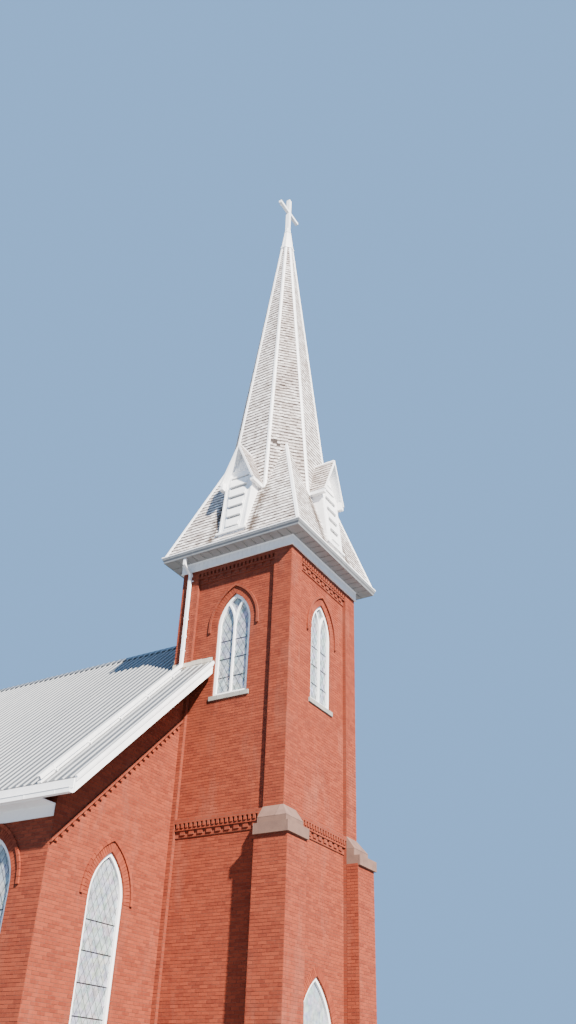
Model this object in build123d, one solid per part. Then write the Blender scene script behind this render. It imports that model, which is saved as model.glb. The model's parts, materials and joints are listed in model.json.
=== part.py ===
from build123d import *
import math
import os

# Brick church with a square front tower, a broached octagonal spire and a steep metal roof.
# Millimetres. The origin is on the ground under the tower's axis, +Z is up and -Y is the front.

# Ground and floors
ground = 0
plinth_height = 600
plinth_projection = 60
plinth_chamfer = 50
floor_thickness = 120

# Tower masonry
tower_width = 3800
tower_wall = 450
tower_top = 15120
pilaster_width = 580
panel_recess = 100
panel_foot = 550

# Corbel tables across the tower's recessed panels
lower_table_drop = 7320
table_height = 450
table_band = 110
dentil_height = 110
dentil_pitch = 135
dentil_width = 72
string_height = 60
string_projection = 75
corbel_height = 110
corbel_pitch = 270
corbel_width = 150
corbel_projection = 55
rake_string_drop = 1360

# Clasping buttresses at the tower's front corners
buttress_projection = 330
buttress_drop = 720
buttress_cap_lip = 60
buttress_slab = 250
buttress_block = 190
buttress_block_inset = 170
buttress_slope_rise = 300

# Tower frieze, eaves and gutter
frieze_height = 430
frieze_projection = 30
eave_overhang = 445
eave_deck = 50
fascia_depth = 175
gutter_width = 110
gutter_wall = 6

# Spire
spire_height = 17100
spire_inset = 433
skirt_slope = 3.09
skirt_tip = 65
shell_thickness = 110
shell_tip = 2
spire_tip_drop = 900
hip_strip_width = 115
hip_strip_thickness = 28
cap_skirt = 1950
cap_drop = 870
cap_thickness = 32
cap_top_half_width = 120

# Cross
cross_height = 2130
cross_arm_drop = 770
cross_arm_reach = 682
cross_post = 150
cross_arm = 120

# Spire dormers
dormer_foot = 300
dormer_setback = 75
dormer_wall_height = 1900
dormer_gable_height = 1470
dormer_eave_half_width = 630
dormer_edge_setback = 60
dormer_roof_thickness = 50
dormer_eave_box = 130
dormer_box_gap = 6
dormer_wall = 60
dormer_base_half_width = 460
dormer_top_half_width = 500
dormer_lean = 0.123
dormer_root = 400
rake_board_depth = 150
rake_board_thickness = 30

# Dormer louvres
louvre_foot = 180
louvre_height = 2010
louvre_base_half_width = 215
louvre_top_half_width = 320
louvre_count = 5
slat_thickness = 24
slat_depth = 390
slat_tilt = 66

# Nave
nave_width = 11900
nave_wall = 400
nave_bay = 3100
nave_bays = 5
gable_setback = 444
nave_soffit_height = 7150
nave_eave_overhang = 440
verge_overhang = 890
deck_thickness = 150
sheet_thickness = 12
rib_pitch = 230
rib_height = 26
rib_base = 62
rib_top = 30
ridge_cap_width = 220
ridge_cap_thickness = 14

# Nave eaves and verges
soffit_drop = 120
board_thickness = 25
nave_frieze_depth = 250
verge_board_depth = 170
verge_board_thickness = 35
verge_trim_depth = 90
verge_trim_thickness = 60

# Roof flashing against the tower
flashing_height = 130
flashing_thickness = 5

# Windows
tower_window_width = 1100
tower_window_jamb = 2110
tower_window_headroom = 600
nave_window_width = 1200
nave_window_foot = 1400
nave_window_headroom = 310
window_frame = 80
frame_depth = 90
reveal = 40
mullion = 50
tracery_depth = 60
glass_thickness = 12
sill_height = 120
sill_projection = 45
sill_end = 90
sill_seat = 230
hood_gap = 215
hood_width = 69
hood_projection = 50
hood_drop = 160

# Entrance
door_width = 1700
door_height = 2300
door_leaf_thickness = 50
door_gap = 6
passage_width = 1500
passage_jamb_height = 1000
passage_wall_cover = 600
step_count = 4
step_going = 300
step_width = 2640

# Downspout
spout_size = 80
spout_wall = 3
spout_inset = 300
spout_clearance = 25
spout_neck = 200
spout_elbow_drop = 190

# A cutting solid reaches this far past the face that it cuts
cut_margin = 5

# Values worked out from the sizes above
tower_half = tower_width / 2
panel_half = tower_half - pilaster_width
panel_base = plinth_height + panel_foot
lower_table_top = tower_top - lower_table_drop
buttress_height = lower_table_top - buttress_drop
eave_level = tower_top + frieze_height
roof_base = eave_level + eave_deck
eave_half = tower_half + eave_overhang
spire_apex = roof_base + spire_height
spire_slope = (eave_half - spire_inset) / spire_height
spire_cut = spire_apex - spire_tip_drop
skirt_apex = roof_base + eave_half * skirt_slope
cap_bottom = spire_apex - cap_skirt
cap_top = spire_apex - cap_drop
cross_top = cap_top + cross_height
cross_arm_height = cross_top - cross_arm_drop
dormer_base = roof_base + dormer_foot
dormer_eave = dormer_base + dormer_wall_height
dormer_peak = dormer_eave + dormer_gable_height
dormer_base_distance = eave_half - dormer_setback
dormer_edge = dormer_base_distance - dormer_edge_setback
dormer_far = 3 * dormer_base_distance
louvre_base = dormer_base + louvre_foot
louvre_top = louvre_base + louvre_height
nave_half = nave_width / 2
eave_half_width = nave_half + nave_eave_overhang
gable_front = tower_half - gable_setback
gable_back = gable_front + nave_bays * nave_bay
roof_front = gable_front - verge_overhang
roof_back = gable_back + verge_overhang
deck_drop = (deck_thickness + sheet_thickness) * math.sqrt(2)
sheet_drop = sheet_thickness * math.sqrt(2)
ridge_height = nave_soffit_height + soffit_drop + deck_drop + eave_half_width
arch_rise = math.sqrt(3) / 2
tower_window_apex = tower_top - table_height - tower_window_headroom
tower_window_spring = tower_window_apex - arch_rise * tower_window_width
tower_window_sill = tower_window_spring - tower_window_jamb
passage_wall_top = plinth_height + passage_jamb_height + arch_rise * passage_width + passage_wall_cover
nave_window_apex = nave_soffit_height - nave_frieze_depth - nave_window_headroom
nave_window_spring = nave_window_apex - arch_rise * nave_window_width
nave_window_sill = plinth_height + nave_window_foot
flank_window_x = (tower_half + nave_half) / 2
door_spring = plinth_height + door_height
spout_y = tower_half - spout_inset
face_turns = {"front": 0, "right": 90, "back": 180, "left": -90}


# Simple shapes

def block(x0, x1, y0, y1, z0, z1):
    centre = Pos((x0 + x1) / 2, (y0 + y1) / 2, (z0 + z1) / 2)
    return centre * Box(x1 - x0, y1 - y0, z1 - z0)


def upright_face(points):
    # A closed outline of X and Z points, facing -Y.
    return Plane.XZ * make_face(Polyline(*points, close=True))


def along_y(face, y0, y1):
    # Sweeps an upright face from y0 back to y1.
    return Pos(0, y1, 0) * extrude(face, y1 - y0)


def arch_face(width, sill, spring, margin=0):
    # Equilateral pointed arch. Its arcs keep their centres when a margin widens or narrows it.
    half = width / 2
    radius = width + margin
    angle = math.degrees(math.acos(half / radius))
    right = CenterArc((-half, spring), radius, 0, angle)
    left = CenterArc((half, spring), radius, 180 - angle, angle)
    jamb = half + margin
    corners = [(-jamb, spring), (jamb, spring)]
    if sill < spring:
        corners[1:1] = [(-jamb, sill), (jamb, sill)]
    return Plane.XZ * make_face(Curve() + [right, left, Polyline(*corners)])


def frustum(sides, low_apothem, high_apothem, z0, z1):
    base = RegularPolygon(low_apothem, sides, major_radius=False, rotation=180 / sides)
    lean = math.degrees(math.atan2(low_apothem - high_apothem, z1 - z0))
    return extrude(Pos(0, 0, z0) * base, z1 - z0, taper=lean)


def turned(shape, face):
    return Rot(0, 0, face_turns[face]) * shape


def pieces(shapes):
    # One group of solids that don't touch.
    solids = []
    for shape in shapes:
        solids.extend(shape.solids())
    return Compound(solids)


def nave_side(face, y):
    # Place on a nave side wall whose outer face is at local y = 0.
    side = -1 if face == "left" else 1
    return Pos(side * nave_half, y, 0) * Rot(0, 0, face_turns[face])


def tower_side(face):
    return Rot(0, 0, face_turns[face]) * Pos(0, panel_recess - tower_half, 0)


def bay_centres():
    return [gable_front + (bay + 0.5) * nave_bay for bay in range(nave_bays)]


# Windows, made with the wall's outer face at y = 0

def window_cut(width, sill, spring, depth):
    hole = along_y(arch_face(width, sill, spring), -cut_margin, depth)
    half = width / 2 + sill_end
    sill_pocket = block(-half, half, -cut_margin, sill_seat, sill - sill_height, sill)
    return hole + sill_pocket


def window_frame_solid(width, sill, spring):
    outer = arch_face(width, sill, spring)
    inner = arch_face(width, sill + window_frame, spring, -window_frame)
    return along_y(outer - inner, reveal, reveal + frame_depth)


def traceried_frame(width, sill, spring):
    return window_frame_solid(width, sill, spring) + tracery(width, sill, spring)


def tracery(width, sill, spring):
    # A centre mullion that parts at the spring into two arcs, parallel to the arch.
    opening = arch_face(width, sill + window_frame, spring, -window_frame)
    light = along_y(opening, reveal, reveal + tracery_depth)
    post = block(-mullion / 2, mullion / 2, reveal, reveal + tracery_depth, sill, spring)
    ring_face = Circle(width + mullion / 2) - Circle(width - mullion / 2)
    bars = post
    for side in (-1, 1):
        ring = along_y(Plane.XZ * (Pos(side * width, spring) * ring_face), reveal, reveal + tracery_depth)
        half_light = block(min(0, -side * width), max(0, -side * width), 0, reveal + frame_depth,
                           spring, spring + width)
        branch = block(min(0, side * width), max(0, side * width), 0, reveal + frame_depth,
                       spring, spring + width)
        bars += ring & (half_light + branch)
    return bars & light


def window_pane(width, sill, spring):
    pane = arch_face(width, sill + window_frame, spring, -window_frame)
    front = reveal + tracery_depth
    return along_y(pane, front, front + glass_thickness)


def window_sill(width, sill):
    half = width / 2 + sill_end
    return block(-half, half, -sill_projection, sill_seat, sill - sill_height, sill)


def window_hood(width, spring):
    foot = spring - hood_drop
    ring = arch_face(width, foot, spring, hood_gap + hood_width) - arch_face(width, foot, spring, hood_gap)
    return along_y(ring, -hood_projection, 0)


# Tower

def tower_plinth():
    half = tower_half + plinth_projection
    body = block(-half, half, -half, half, ground, plinth_height)
    top_edges = body.faces().sort_by(Axis.Z)[-1].edges()
    body = chamfer(top_edges, plinth_chamfer)
    inner = tower_half - tower_wall
    return body - block(-inner, inner, -inner, inner, ground, plinth_height)


def tower_floor():
    inner = tower_half - tower_wall
    return block(-inner, inner, -inner, inner, plinth_height - floor_thickness, plinth_height)


def tower_wall_solid(face):
    # Mitred at both ends, with one tall recessed panel between pilasters.
    inner = tower_half - tower_wall
    plan = Polyline((-tower_half, -tower_half), (tower_half, -tower_half), (inner, -inner), (-inner, -inner),
                    close=True)
    wall = extrude(Pos(0, 0, plinth_height) * make_face(plan), tower_top - plinth_height)
    panel = block(-panel_half, panel_half, -tower_half, -tower_half + panel_recess, panel_base, tower_top)
    wall -= panel
    depth = tower_wall + cut_margin
    shift = Pos(0, panel_recess - tower_half, 0)
    if face != "back":
        wall -= shift * window_cut(tower_window_width, tower_window_sill, tower_window_spring, depth)
    if face == "front":
        door = along_y(arch_face(door_width, plinth_height, door_spring), -depth, depth)
        wall -= shift * door
    if face == "back":
        wall -= passage_cut()
    return turned(wall, face)


def lower_wall_zone():
    # The tower's back wall is built in two lifts, the lower one with the passage into the nave.
    return block(-tower_half, tower_half, -tower_half, tower_half, ground, passage_wall_top)


def passage_cut():
    outline = arch_face(passage_width, plinth_height, plinth_height + passage_jamb_height)
    return Pos(0, -tower_half, 0) * along_y(outline, -cut_margin, tower_wall + cut_margin)


def corbel_table(top):
    # Band over dentils, string course and spaced corbels, with the panel's face at y = 0.
    string_top = top - table_band - dentil_height
    corbel_top = string_top - string_height
    dentils = comb_face(dentil_pitch, dentil_width, string_top, string_top + dentil_height, top)
    corbels = comb_face(corbel_pitch, corbel_width, corbel_top - corbel_height, corbel_top, string_top)
    table = along_y(dentils, -panel_recess, 0)
    table += along_y(corbels, -corbel_projection, 0)
    table += block(-panel_half, panel_half, -string_projection, 0, corbel_top, string_top)
    return table + block(-panel_half, panel_half, -corbel_projection / 2, 0, top - table_height, top)


def comb_face(pitch, width, foot, root, top):
    # A band from root to top with teeth down to the foot.
    count = int(2 * panel_half / pitch)
    points = [(panel_half, root), (panel_half, top), (-panel_half, top), (-panel_half, root)]
    for step in range(count):
        x = (step - (count - 1) / 2) * pitch
        points += [(x - width / 2, root), (x - width / 2, foot), (x + width / 2, foot), (x + width / 2, root)]
    return upright_face(points)


def tower_corbel_tables():
    shapes = []
    for face in face_turns:
        shapes.append(tower_side(face) * corbel_table(tower_top))
        if face != "back":
            shapes.append(tower_side(face) * corbel_table(lower_table_top))
    return pieces(shapes)


def tower_window_group(maker, *sizes):
    return [tower_side(face) * maker(*sizes) for face in ("front", "left", "right")]


def buttress_region(side, z0, z1):
    # The corner square in plan that a clasping buttress may fill.
    reach = tower_half + buttress_projection + buttress_cap_lip
    x0, x1 = sorted((side * panel_half, side * reach))
    return block(x0, x1, -reach, -panel_half, z0, z1)


def tower_core(z0, z1, margin=0):
    half = tower_half + margin
    return block(-half, half, -half, half, z0, z1)


def tower_buttresses():
    shapes = []
    for side in (-1, 1):
        region = buttress_region(side, ground, buttress_height)
        clasp = tower_core(ground, buttress_height, buttress_projection) & region
        clasp -= tower_core(plinth_height, buttress_height)
        shapes.append(clasp - tower_plinth_envelope())
    return pieces(shapes)


def tower_plinth_envelope():
    half = tower_half + plinth_projection
    body = block(-half, half, -half, half, ground, plinth_height)
    return chamfer(body.faces().sort_by(Axis.Z)[-1].edges(), plinth_chamfer)


def buttress_caps():
    # A broad slab, a narrower block set back on it and a slope up to the tower's faces.
    reach = buttress_projection + buttress_cap_lip
    inset = reach - buttress_block_inset
    slab_top = buttress_height + buttress_slab
    block_top = slab_top + buttress_block
    top = block_top + buttress_slope_rise
    steps = tower_core(buttress_height, slab_top, reach) + tower_core(slab_top, block_top, inset)
    steps += frustum(4, tower_half + inset, tower_half, block_top, top)
    shapes = []
    for side in (-1, 1):
        cap = steps & buttress_region(side, buttress_height, top)
        shapes.append(cap - tower_core(buttress_height, top))
    return pieces(shapes)


# Entrance

def door_frame():
    outer = arch_face(door_width, plinth_height, door_spring)
    inner = arch_face(door_width, plinth_height, door_spring, -window_frame)
    frame = along_y(outer - inner, reveal, reveal + frame_depth)
    transom = block(-door_width / 2 + window_frame, door_width / 2 - window_frame, reveal,
                    reveal + frame_depth, door_spring - window_frame, door_spring)
    return tower_side("front") * (frame + transom)


def door_leaves():
    front = reveal + (frame_depth - door_leaf_thickness) / 2
    half = door_width / 2 - window_frame
    top = door_spring - window_frame
    leaves = []
    for side in (-1, 1):
        x0, x1 = sorted((side * door_gap / 2, side * half))
        leaves.append(block(x0, x1, front, front + door_leaf_thickness, plinth_height, top))
    return pieces([tower_side("front") * leaf for leaf in leaves])


def door_fanlight():
    pane = arch_face(door_width, door_spring, door_spring, -window_frame)
    front = reveal + tracery_depth
    return tower_side("front") * along_y(pane, front, front + glass_thickness)


def front_steps():
    rise = plinth_height / step_count
    wall = tower_half + plinth_projection
    points = [(-wall, ground)]
    for step in range(step_count):
        y = -wall - (step_count - step) * step_going
        points.append((y, ground + step * rise))
        points.append((y, ground + (step + 1) * rise))
    points.append((-wall, plinth_height))
    side = Plane.YZ * make_face(Polyline(*points, close=True))
    flight = Pos(-step_width / 2, 0, 0) * extrude(side, step_width)
    return flight - tower_plinth_envelope() - pieces([tower_buttresses()])


# Tower eaves

def tower_frieze():
    outer = tower_core(tower_top, eave_level, frieze_projection)
    return outer - tower_core(tower_top, eave_level, -tower_wall)


def eave_boarding():
    # The boarded deck that carries the spire and closes the eaves from below.
    return tower_core(eave_level, roof_base, eave_overhang - gutter_width)


def tower_gutter():
    outer = tower_core(roof_base - fascia_depth, roof_base - eave_deck, eave_overhang)
    inner_half = eave_overhang - gutter_width
    trough = tower_core(roof_base - fascia_depth + gutter_wall, roof_base, eave_overhang - gutter_wall)
    trough -= tower_core(roof_base - fascia_depth, roof_base, inner_half + gutter_wall)
    return outer - trough - tower_core(roof_base - fascia_depth, roof_base, inner_half)


# Spire

def spire_solid(margin=0, top=spire_cut):
    low = (spire_apex - roof_base) * spire_slope + margin
    high = (spire_apex - top) * spire_slope + margin
    return frustum(8, low, high, roof_base, top)


def skirt_solid(margin=0):
    top = skirt_apex - skirt_tip * skirt_slope
    return frustum(4, eave_half + margin, skirt_tip + margin, roof_base, top)


def spire_skirt():
    top = skirt_apex - (shell_thickness + shell_tip) * skirt_slope
    inner = frustum(4, eave_half - shell_thickness, shell_tip, roof_base, top)
    return skirt_solid() - inner - spire_solid()


def spire_shell():
    low = spire_height * spire_slope - shell_thickness
    hollow_top = spire_apex - (shell_thickness + shell_tip) / spire_slope
    inner = frustum(8, low, shell_tip, roof_base, hollow_top)
    return spire_solid() - inner


def arris_plates(angles, reach, z0, z1):
    plates = Part()
    for angle in angles:
        plate = block(0, reach, -hip_strip_width / 2, hip_strip_width / 2, z0, z1)
        plates += Rot(0, 0, angle) * plate
    return plates


def spire_hip_strips():
    angles = [22.5 + 45 * step for step in range(8)]
    plates = arris_plates(angles, 2 * eave_half, roof_base, cap_bottom)
    skin = spire_solid(hip_strip_thickness, cap_bottom) - spire_solid(0, cap_bottom)
    return (skin & plates) - skirt_solid(hip_strip_thickness)


def broach_hip_strips():
    angles = [45 + 90 * step for step in range(4)]
    plates = arris_plates(angles, 2 * eave_half, roof_base, skirt_apex)
    skin = skirt_solid(hip_strip_thickness) - skirt_solid()
    return (skin & plates) - spire_solid()


def spire_cap():
    low = (spire_apex - cap_bottom) * spire_slope + cap_thickness
    outer = frustum(8, low, cap_top_half_width, cap_bottom, cap_top)
    return outer - spire_solid()


def cross():
    post = block(-cross_post / 2, cross_post / 2, -cross_post / 2, cross_post / 2, cap_top, cross_top)
    arm = block(-cross_arm_reach, cross_arm_reach, -cross_arm / 2, cross_arm / 2,
                cross_arm_height - cross_arm / 2, cross_arm_height + cross_arm / 2)
    return post + arm


# Dormers, made facing -Y

def roof_mass():
    return skirt_solid() + spire_solid()


def front_plane_cut(inset=0):
    # Everything in front of the dormer's leaning face.
    low_y = -(dormer_base_distance - inset)
    high_y = low_y + dormer_lean * (dormer_peak - dormer_base)
    root = dormer_base - dormer_root
    points = [(-dormer_far, root), (low_y - dormer_lean * dormer_root, root),
              (high_y, dormer_peak), (-dormer_far, dormer_peak)]
    side = Plane.YZ * make_face(Polyline(*points, close=True))
    return Pos(-dormer_base_distance, 0, 0) * extrude(side, 2 * dormer_base_distance)


def dormer_pitch():
    return (dormer_peak - dormer_eave) / dormer_eave_half_width


def dormer_drop():
    return dormer_roof_thickness * math.sqrt(1 + dormer_pitch() ** 2)


def dormer_outline(inset=0):
    # Tapered jambs and a steep gable that fits under the roof slabs.
    pitch = dormer_pitch()
    peak = dormer_peak - dormer_drop() - inset * math.sqrt(1 + pitch ** 2)
    top_half = dormer_top_half_width - inset
    base_half = dormer_base_half_width - inset
    base = dormer_base - dormer_foot
    return [(-base_half, base), (base_half, base), (top_half, peak - pitch * top_half), (0, peak),
            (-top_half, peak - pitch * top_half)]


def louvre_opening():
    points = [(-louvre_base_half_width, louvre_base), (louvre_base_half_width, louvre_base),
              (louvre_top_half_width, louvre_top), (-louvre_top_half_width, louvre_top)]
    return along_y(upright_face(points), -dormer_far, -tower_half / 2)


def dormer_body():
    outer = along_y(upright_face(dormer_outline()), -dormer_far, -tower_half / 2)
    outer -= front_plane_cut()
    hollow = along_y(upright_face(dormer_outline(dormer_wall)), -dormer_far, -tower_half / 2)
    hollow -= front_plane_cut(dormer_wall)
    return outer - hollow - louvre_opening() - roof_mass()


def dormer_roof():
    # Two slabs that meet at the ridge, each with a boxed eave at its foot.
    half = dormer_eave_half_width
    box_half = dormer_top_half_width + dormer_box_gap
    box_foot = dormer_eave - dormer_eave_box
    peak = dormer_peak - dormer_drop()
    box_top = peak - dormer_pitch() * box_half
    points = [(-half, dormer_eave), (-half, box_foot), (-box_half, box_foot), (-box_half, box_top), (0, peak),
              (box_half, box_top), (box_half, box_foot), (half, box_foot), (half, dormer_eave), (0, dormer_peak)]
    slabs = along_y(upright_face(points), -dormer_edge, -tower_half / 2)
    return slabs - roof_mass() - spire_hip_strips()


def dormer_rake_boards():
    half = dormer_eave_half_width
    inner_half = half - rake_board_depth / dormer_pitch()
    points = [(-half, dormer_eave), (-inner_half, dormer_eave), (0, dormer_peak - rake_board_depth),
              (inner_half, dormer_eave), (half, dormer_eave), (0, dormer_peak)]
    return along_y(upright_face(points), -dormer_edge - rake_board_thickness, -dormer_edge)


def dormer_louvres():
    opening = louvre_opening()
    pitch = (louvre_top - louvre_base) / louvre_count
    slats = []
    for step in range(louvre_count):
        z = louvre_base + (step + 0.5) * pitch
        y = -dormer_base_distance + dormer_lean * (z - dormer_base) + slat_depth / 4
        slat = Box(2 * louvre_top_half_width, slat_depth, slat_thickness)
        slats.append(((Pos(0, y, z) * Rot(slat_tilt, 0, 0) * slat) & opening) - roof_mass())
    return pieces(slats)


def on_all_faces(shape):
    return pieces([turned(shape, face) for face in face_turns])


# Nave

def roof_level(x):
    return ridge_height - abs(x)


def wall_head(x):
    # Underside of the roof deck.
    return roof_level(x) - deck_drop


def nave_plinth():
    outer = block(-nave_half - plinth_projection, nave_half + plinth_projection, gable_front - plinth_projection,
                  gable_back + plinth_projection, ground, plinth_height)
    outer = chamfer(outer.faces().sort_by(Axis.Z)[-1].edges(), plinth_chamfer)
    inner_half = nave_half - nave_wall
    inner = block(-inner_half, inner_half, gable_front + nave_wall, gable_back - nave_wall, ground, plinth_height)
    ring = outer - inner - tower_plinth_envelope()
    return pieces([ring])


def nave_floor():
    inner_half = nave_half - nave_wall
    floor = block(-inner_half, inner_half, gable_front + nave_wall, gable_back - nave_wall,
                  plinth_height - floor_thickness, plinth_height)
    return floor - tower_plinth_envelope()


def side_wall(face):
    inner_half = nave_half - nave_wall
    points = [(nave_half, plinth_height), (nave_half, wall_head(nave_half)),
              (inner_half, wall_head(inner_half)), (inner_half, plinth_height)]
    if face == "left":
        points = [(-x, z) for x, z in points]
    wall = along_y(upright_face(points), gable_front + nave_wall, gable_back - nave_wall)
    cut = window_cut(nave_window_width, nave_window_sill, nave_window_spring, nave_wall + cut_margin)
    for y in bay_centres():
        wall -= nave_side(face, y) * cut
    return wall


def flank_wall(side):
    points = [(side * tower_half, plinth_height), (side * nave_half, plinth_height),
              (side * nave_half, wall_head(nave_half)), (side * tower_half, wall_head(tower_half))]
    wall = along_y(upright_face(points), gable_front, gable_front + nave_wall)
    cut = window_cut(nave_window_width, nave_window_sill, nave_window_spring, nave_wall + cut_margin)
    wall -= flank_place(side) * cut
    string_top = rake_string_drop - string_height * math.sqrt(2)
    wall += rake_band(side, string_top, rake_string_drop, string_projection)
    return wall + rake_band(side, 0, string_top, corbel_projection / 2)


def rake_band(side, drop0, drop1, projection):
    # A band that climbs with the roof, between two depths under the head of the wall.
    inner, outer = side * tower_half, side * nave_half
    points = [(inner, wall_head(inner) - drop0), (outer, wall_head(outer) - drop0),
              (outer, wall_head(outer) - drop1), (inner, wall_head(inner) - drop1)]
    return along_y(upright_face(points), gable_front - projection, gable_front)


def back_wall():
    points = [(-nave_half, plinth_height), (nave_half, plinth_height), (nave_half, wall_head(nave_half)),
              (0, wall_head(0)), (-nave_half, wall_head(nave_half))]
    return along_y(upright_face(points), gable_back - nave_wall, gable_back)


def flank_place(side):
    return Pos(side * flank_window_x, gable_front, 0)


def nave_window_group(maker, *sizes):
    shapes = []
    for face in ("left", "right"):
        for y in bay_centres():
            shapes.append(nave_side(face, y) * maker(*sizes))
    for side in (-1, 1):
        shapes.append(flank_place(side) * maker(*sizes))
    return shapes


# Roof

def roof_deck(side):
    x, eave = side * eave_half_width, roof_level(eave_half_width)
    points = [(0, ridge_height - sheet_drop), (x, eave - sheet_drop),
              (x, eave - deck_drop), (0, ridge_height - deck_drop)]
    deck = along_y(upright_face(points), roof_front, roof_back)
    return deck - tower_core(ground, ridge_height)


def roof_sheet(side):
    # Ribs run down the slope. The profile is drawn along Y and pushed down the slope.
    length = eave_half_width * math.sqrt(2) + rib_height
    span = roof_back - roof_front
    count = int(span / rib_pitch)
    first = roof_front + (span - (count - 1) * rib_pitch) / 2
    points = [(roof_front, 0)]
    for step in range(count):
        y = first + step * rib_pitch
        points.append((y - rib_base / 2, 0))
        points.append((y - rib_top / 2, rib_height))
        points.append((y + rib_top / 2, rib_height))
        points.append((y + rib_base / 2, 0))
    points += [(roof_back, 0), (roof_back, -sheet_thickness), (roof_front, -sheet_thickness)]
    down = Vector(side, 0, -1).normalized()
    start = Vector(0, 0, ridge_height) - down * rib_height
    profile = Plane(origin=start, x_dir=(0, 1, 0), z_dir=down)
    up = 1 if profile.y_dir.Z > 0 else -1
    outline = make_face(Polyline(*[(y, up * height) for y, height in points], close=True))
    sheet = extrude(profile * outline, length)
    x0, x1 = sorted((0, -side * rib_height * 2))
    ridge_top = ridge_height + rib_height * 3
    beyond_ridge = block(x0, x1, roof_front, roof_back, ridge_height - rib_height * 2, ridge_top)
    return sheet - beyond_ridge - tower_core(ground, ridge_top)


def ridge_cap():
    lift = rib_height * math.sqrt(2)
    top = ridge_height + lift + ridge_cap_thickness * math.sqrt(2)
    foot = ridge_cap_width / math.sqrt(2)
    points = [(0, ridge_height + lift), (foot, ridge_height + lift - foot),
              (foot, top - foot), (0, top), (-foot, top - foot), (-foot, ridge_height + lift - foot)]
    return along_y(upright_face(points), tower_half + flashing_thickness, roof_back)


def verge_boards(side, x_inner):
    # A bargeboard with a thicker trim board over its upper edge.
    top = rib_height * math.sqrt(2)
    shapes = []
    for depth0, depth1, thickness in ((0, verge_trim_depth, verge_trim_thickness),
                                      (verge_trim_depth, verge_trim_depth + verge_board_depth, verge_board_thickness)):
        high = top - depth0 * math.sqrt(2)
        low = top - depth1 * math.sqrt(2)
        inner, eave = roof_level(x_inner), roof_level(eave_half_width)
        points = [(side * x_inner, inner + high), (side * eave_half_width, eave + high),
                  (side * eave_half_width, eave + low), (side * x_inner, inner + low)]
        shapes.append((upright_face(points), thickness))
    return shapes


def bargeboards():
    groups = []
    for side in (-1, 1):
        front = Part()
        for face, thickness in verge_boards(side, tower_half):
            front += along_y(face, roof_front - thickness, roof_front)
        groups.append(front)
    back = Part()
    for side in (-1, 1):
        for face, thickness in verge_boards(side, 0):
            back += along_y(face, roof_back, roof_back + thickness)
    groups.append(back)
    return pieces(groups)


def eave_boards(side):
    # Frieze board on the wall, flat soffit and upright fascia.
    fascia_x = eave_half_width
    soffit, foot = nave_soffit_height, nave_soffit_height - nave_frieze_depth
    points = [(nave_half, foot), (nave_half + board_thickness, foot),
              (nave_half + board_thickness, soffit), (fascia_x, soffit),
              (fascia_x, wall_head(fascia_x)), (fascia_x - board_thickness, wall_head(fascia_x - board_thickness)),
              (fascia_x - board_thickness, soffit + board_thickness), (nave_half, soffit + board_thickness)]
    points = [(side * x, z) for x, z in points]
    return along_y(upright_face(points), gable_front, gable_back)


def nave_gutter(side):
    top = wall_head(eave_half_width) + gutter_wall
    inner = eave_half_width
    outer = inner + gutter_width
    low = top - gutter_width
    points = [(inner, top), (inner, low), (outer, low), (outer, top), (outer - gutter_wall, top),
              (outer - gutter_wall, low + gutter_wall), (inner + gutter_wall, low + gutter_wall), (inner + gutter_wall, top)]
    points = [(side * x, z) for x, z in points]
    return along_y(upright_face(points), roof_front, roof_back)


def roof_flashing():
    # Sheet turned up the tower's faces where the nave roof meets them.
    rise = rib_height * math.sqrt(2) + flashing_height
    half = tower_half + flashing_thickness
    low = roof_level(half)
    shapes = Part()
    for side in (-1, 1):
        x0, x1 = sorted((side * tower_half, side * half))
        shapes += block(x0, x1, roof_front, tower_half, low, low + rise)
    points = [(-half, low), (0, ridge_height), (half, low), (half, low + rise),
              (0, ridge_height + rise), (-half, low + rise)]
    shapes += along_y(upright_face(points), tower_half, half)
    return shapes - roof_sheet(-1) - roof_sheet(1)


# Downspout

def downspout():
    # From the tower gutter, down the left face's back pilaster, then down the roof slope.
    gutter_x = -(eave_half - gutter_width / 2)
    wall_x = -(tower_half + spout_clearance + spout_size / 2)
    top = roof_base - fascia_depth
    lift = (rib_height + spout_clearance) * math.sqrt(2) + spout_size / 2
    foot = roof_level(wall_x) + lift + spout_size / 2
    end_x = -(eave_half_width + gutter_width / 3)
    route = Polyline((gutter_x, spout_y, top), (gutter_x, spout_y, top - spout_neck),
                     (wall_x, spout_y, top - spout_neck - spout_elbow_drop), (wall_x, spout_y, foot),
                     (end_x, spout_y, foot - (abs(end_x) - abs(wall_x))))
    section = Pos(gutter_x, spout_y, top) * (Rectangle(spout_size, spout_size)
                                             - Rectangle(spout_size - 2 * spout_wall, spout_size - 2 * spout_wall))
    return sweep(section, path=route, transition=Transition.RIGHT)


# Writing the files

def write(name, shape):
    shape.label = name
    export_step(shape, os.path.join("parts", name + ".step"))


def tower_parts():
    write("tower_plinth", tower_plinth())
    for face in ("front", "right", "left"):
        write("tower_" + face + "_wall", tower_wall_solid(face))
    back = tower_wall_solid("back")
    write("tower_back_wall", back - lower_wall_zone())
    write("tower_passage_wall", back & lower_wall_zone())
    write("tower_corbel_tables", tower_corbel_tables())
    write("tower_buttresses", tower_buttresses())
    write("buttress_caps", buttress_caps())
    write("front_door_frame", door_frame())
    write("front_door_leaves", door_leaves())
    write("front_door_fanlight", door_fanlight())
    write("front_steps", front_steps())
    write("tower_frieze", tower_frieze())
    write("spire_eave_boarding", eave_boarding())
    write("tower_gutter", tower_gutter())
    write("tower_downspout", downspout())


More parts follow.
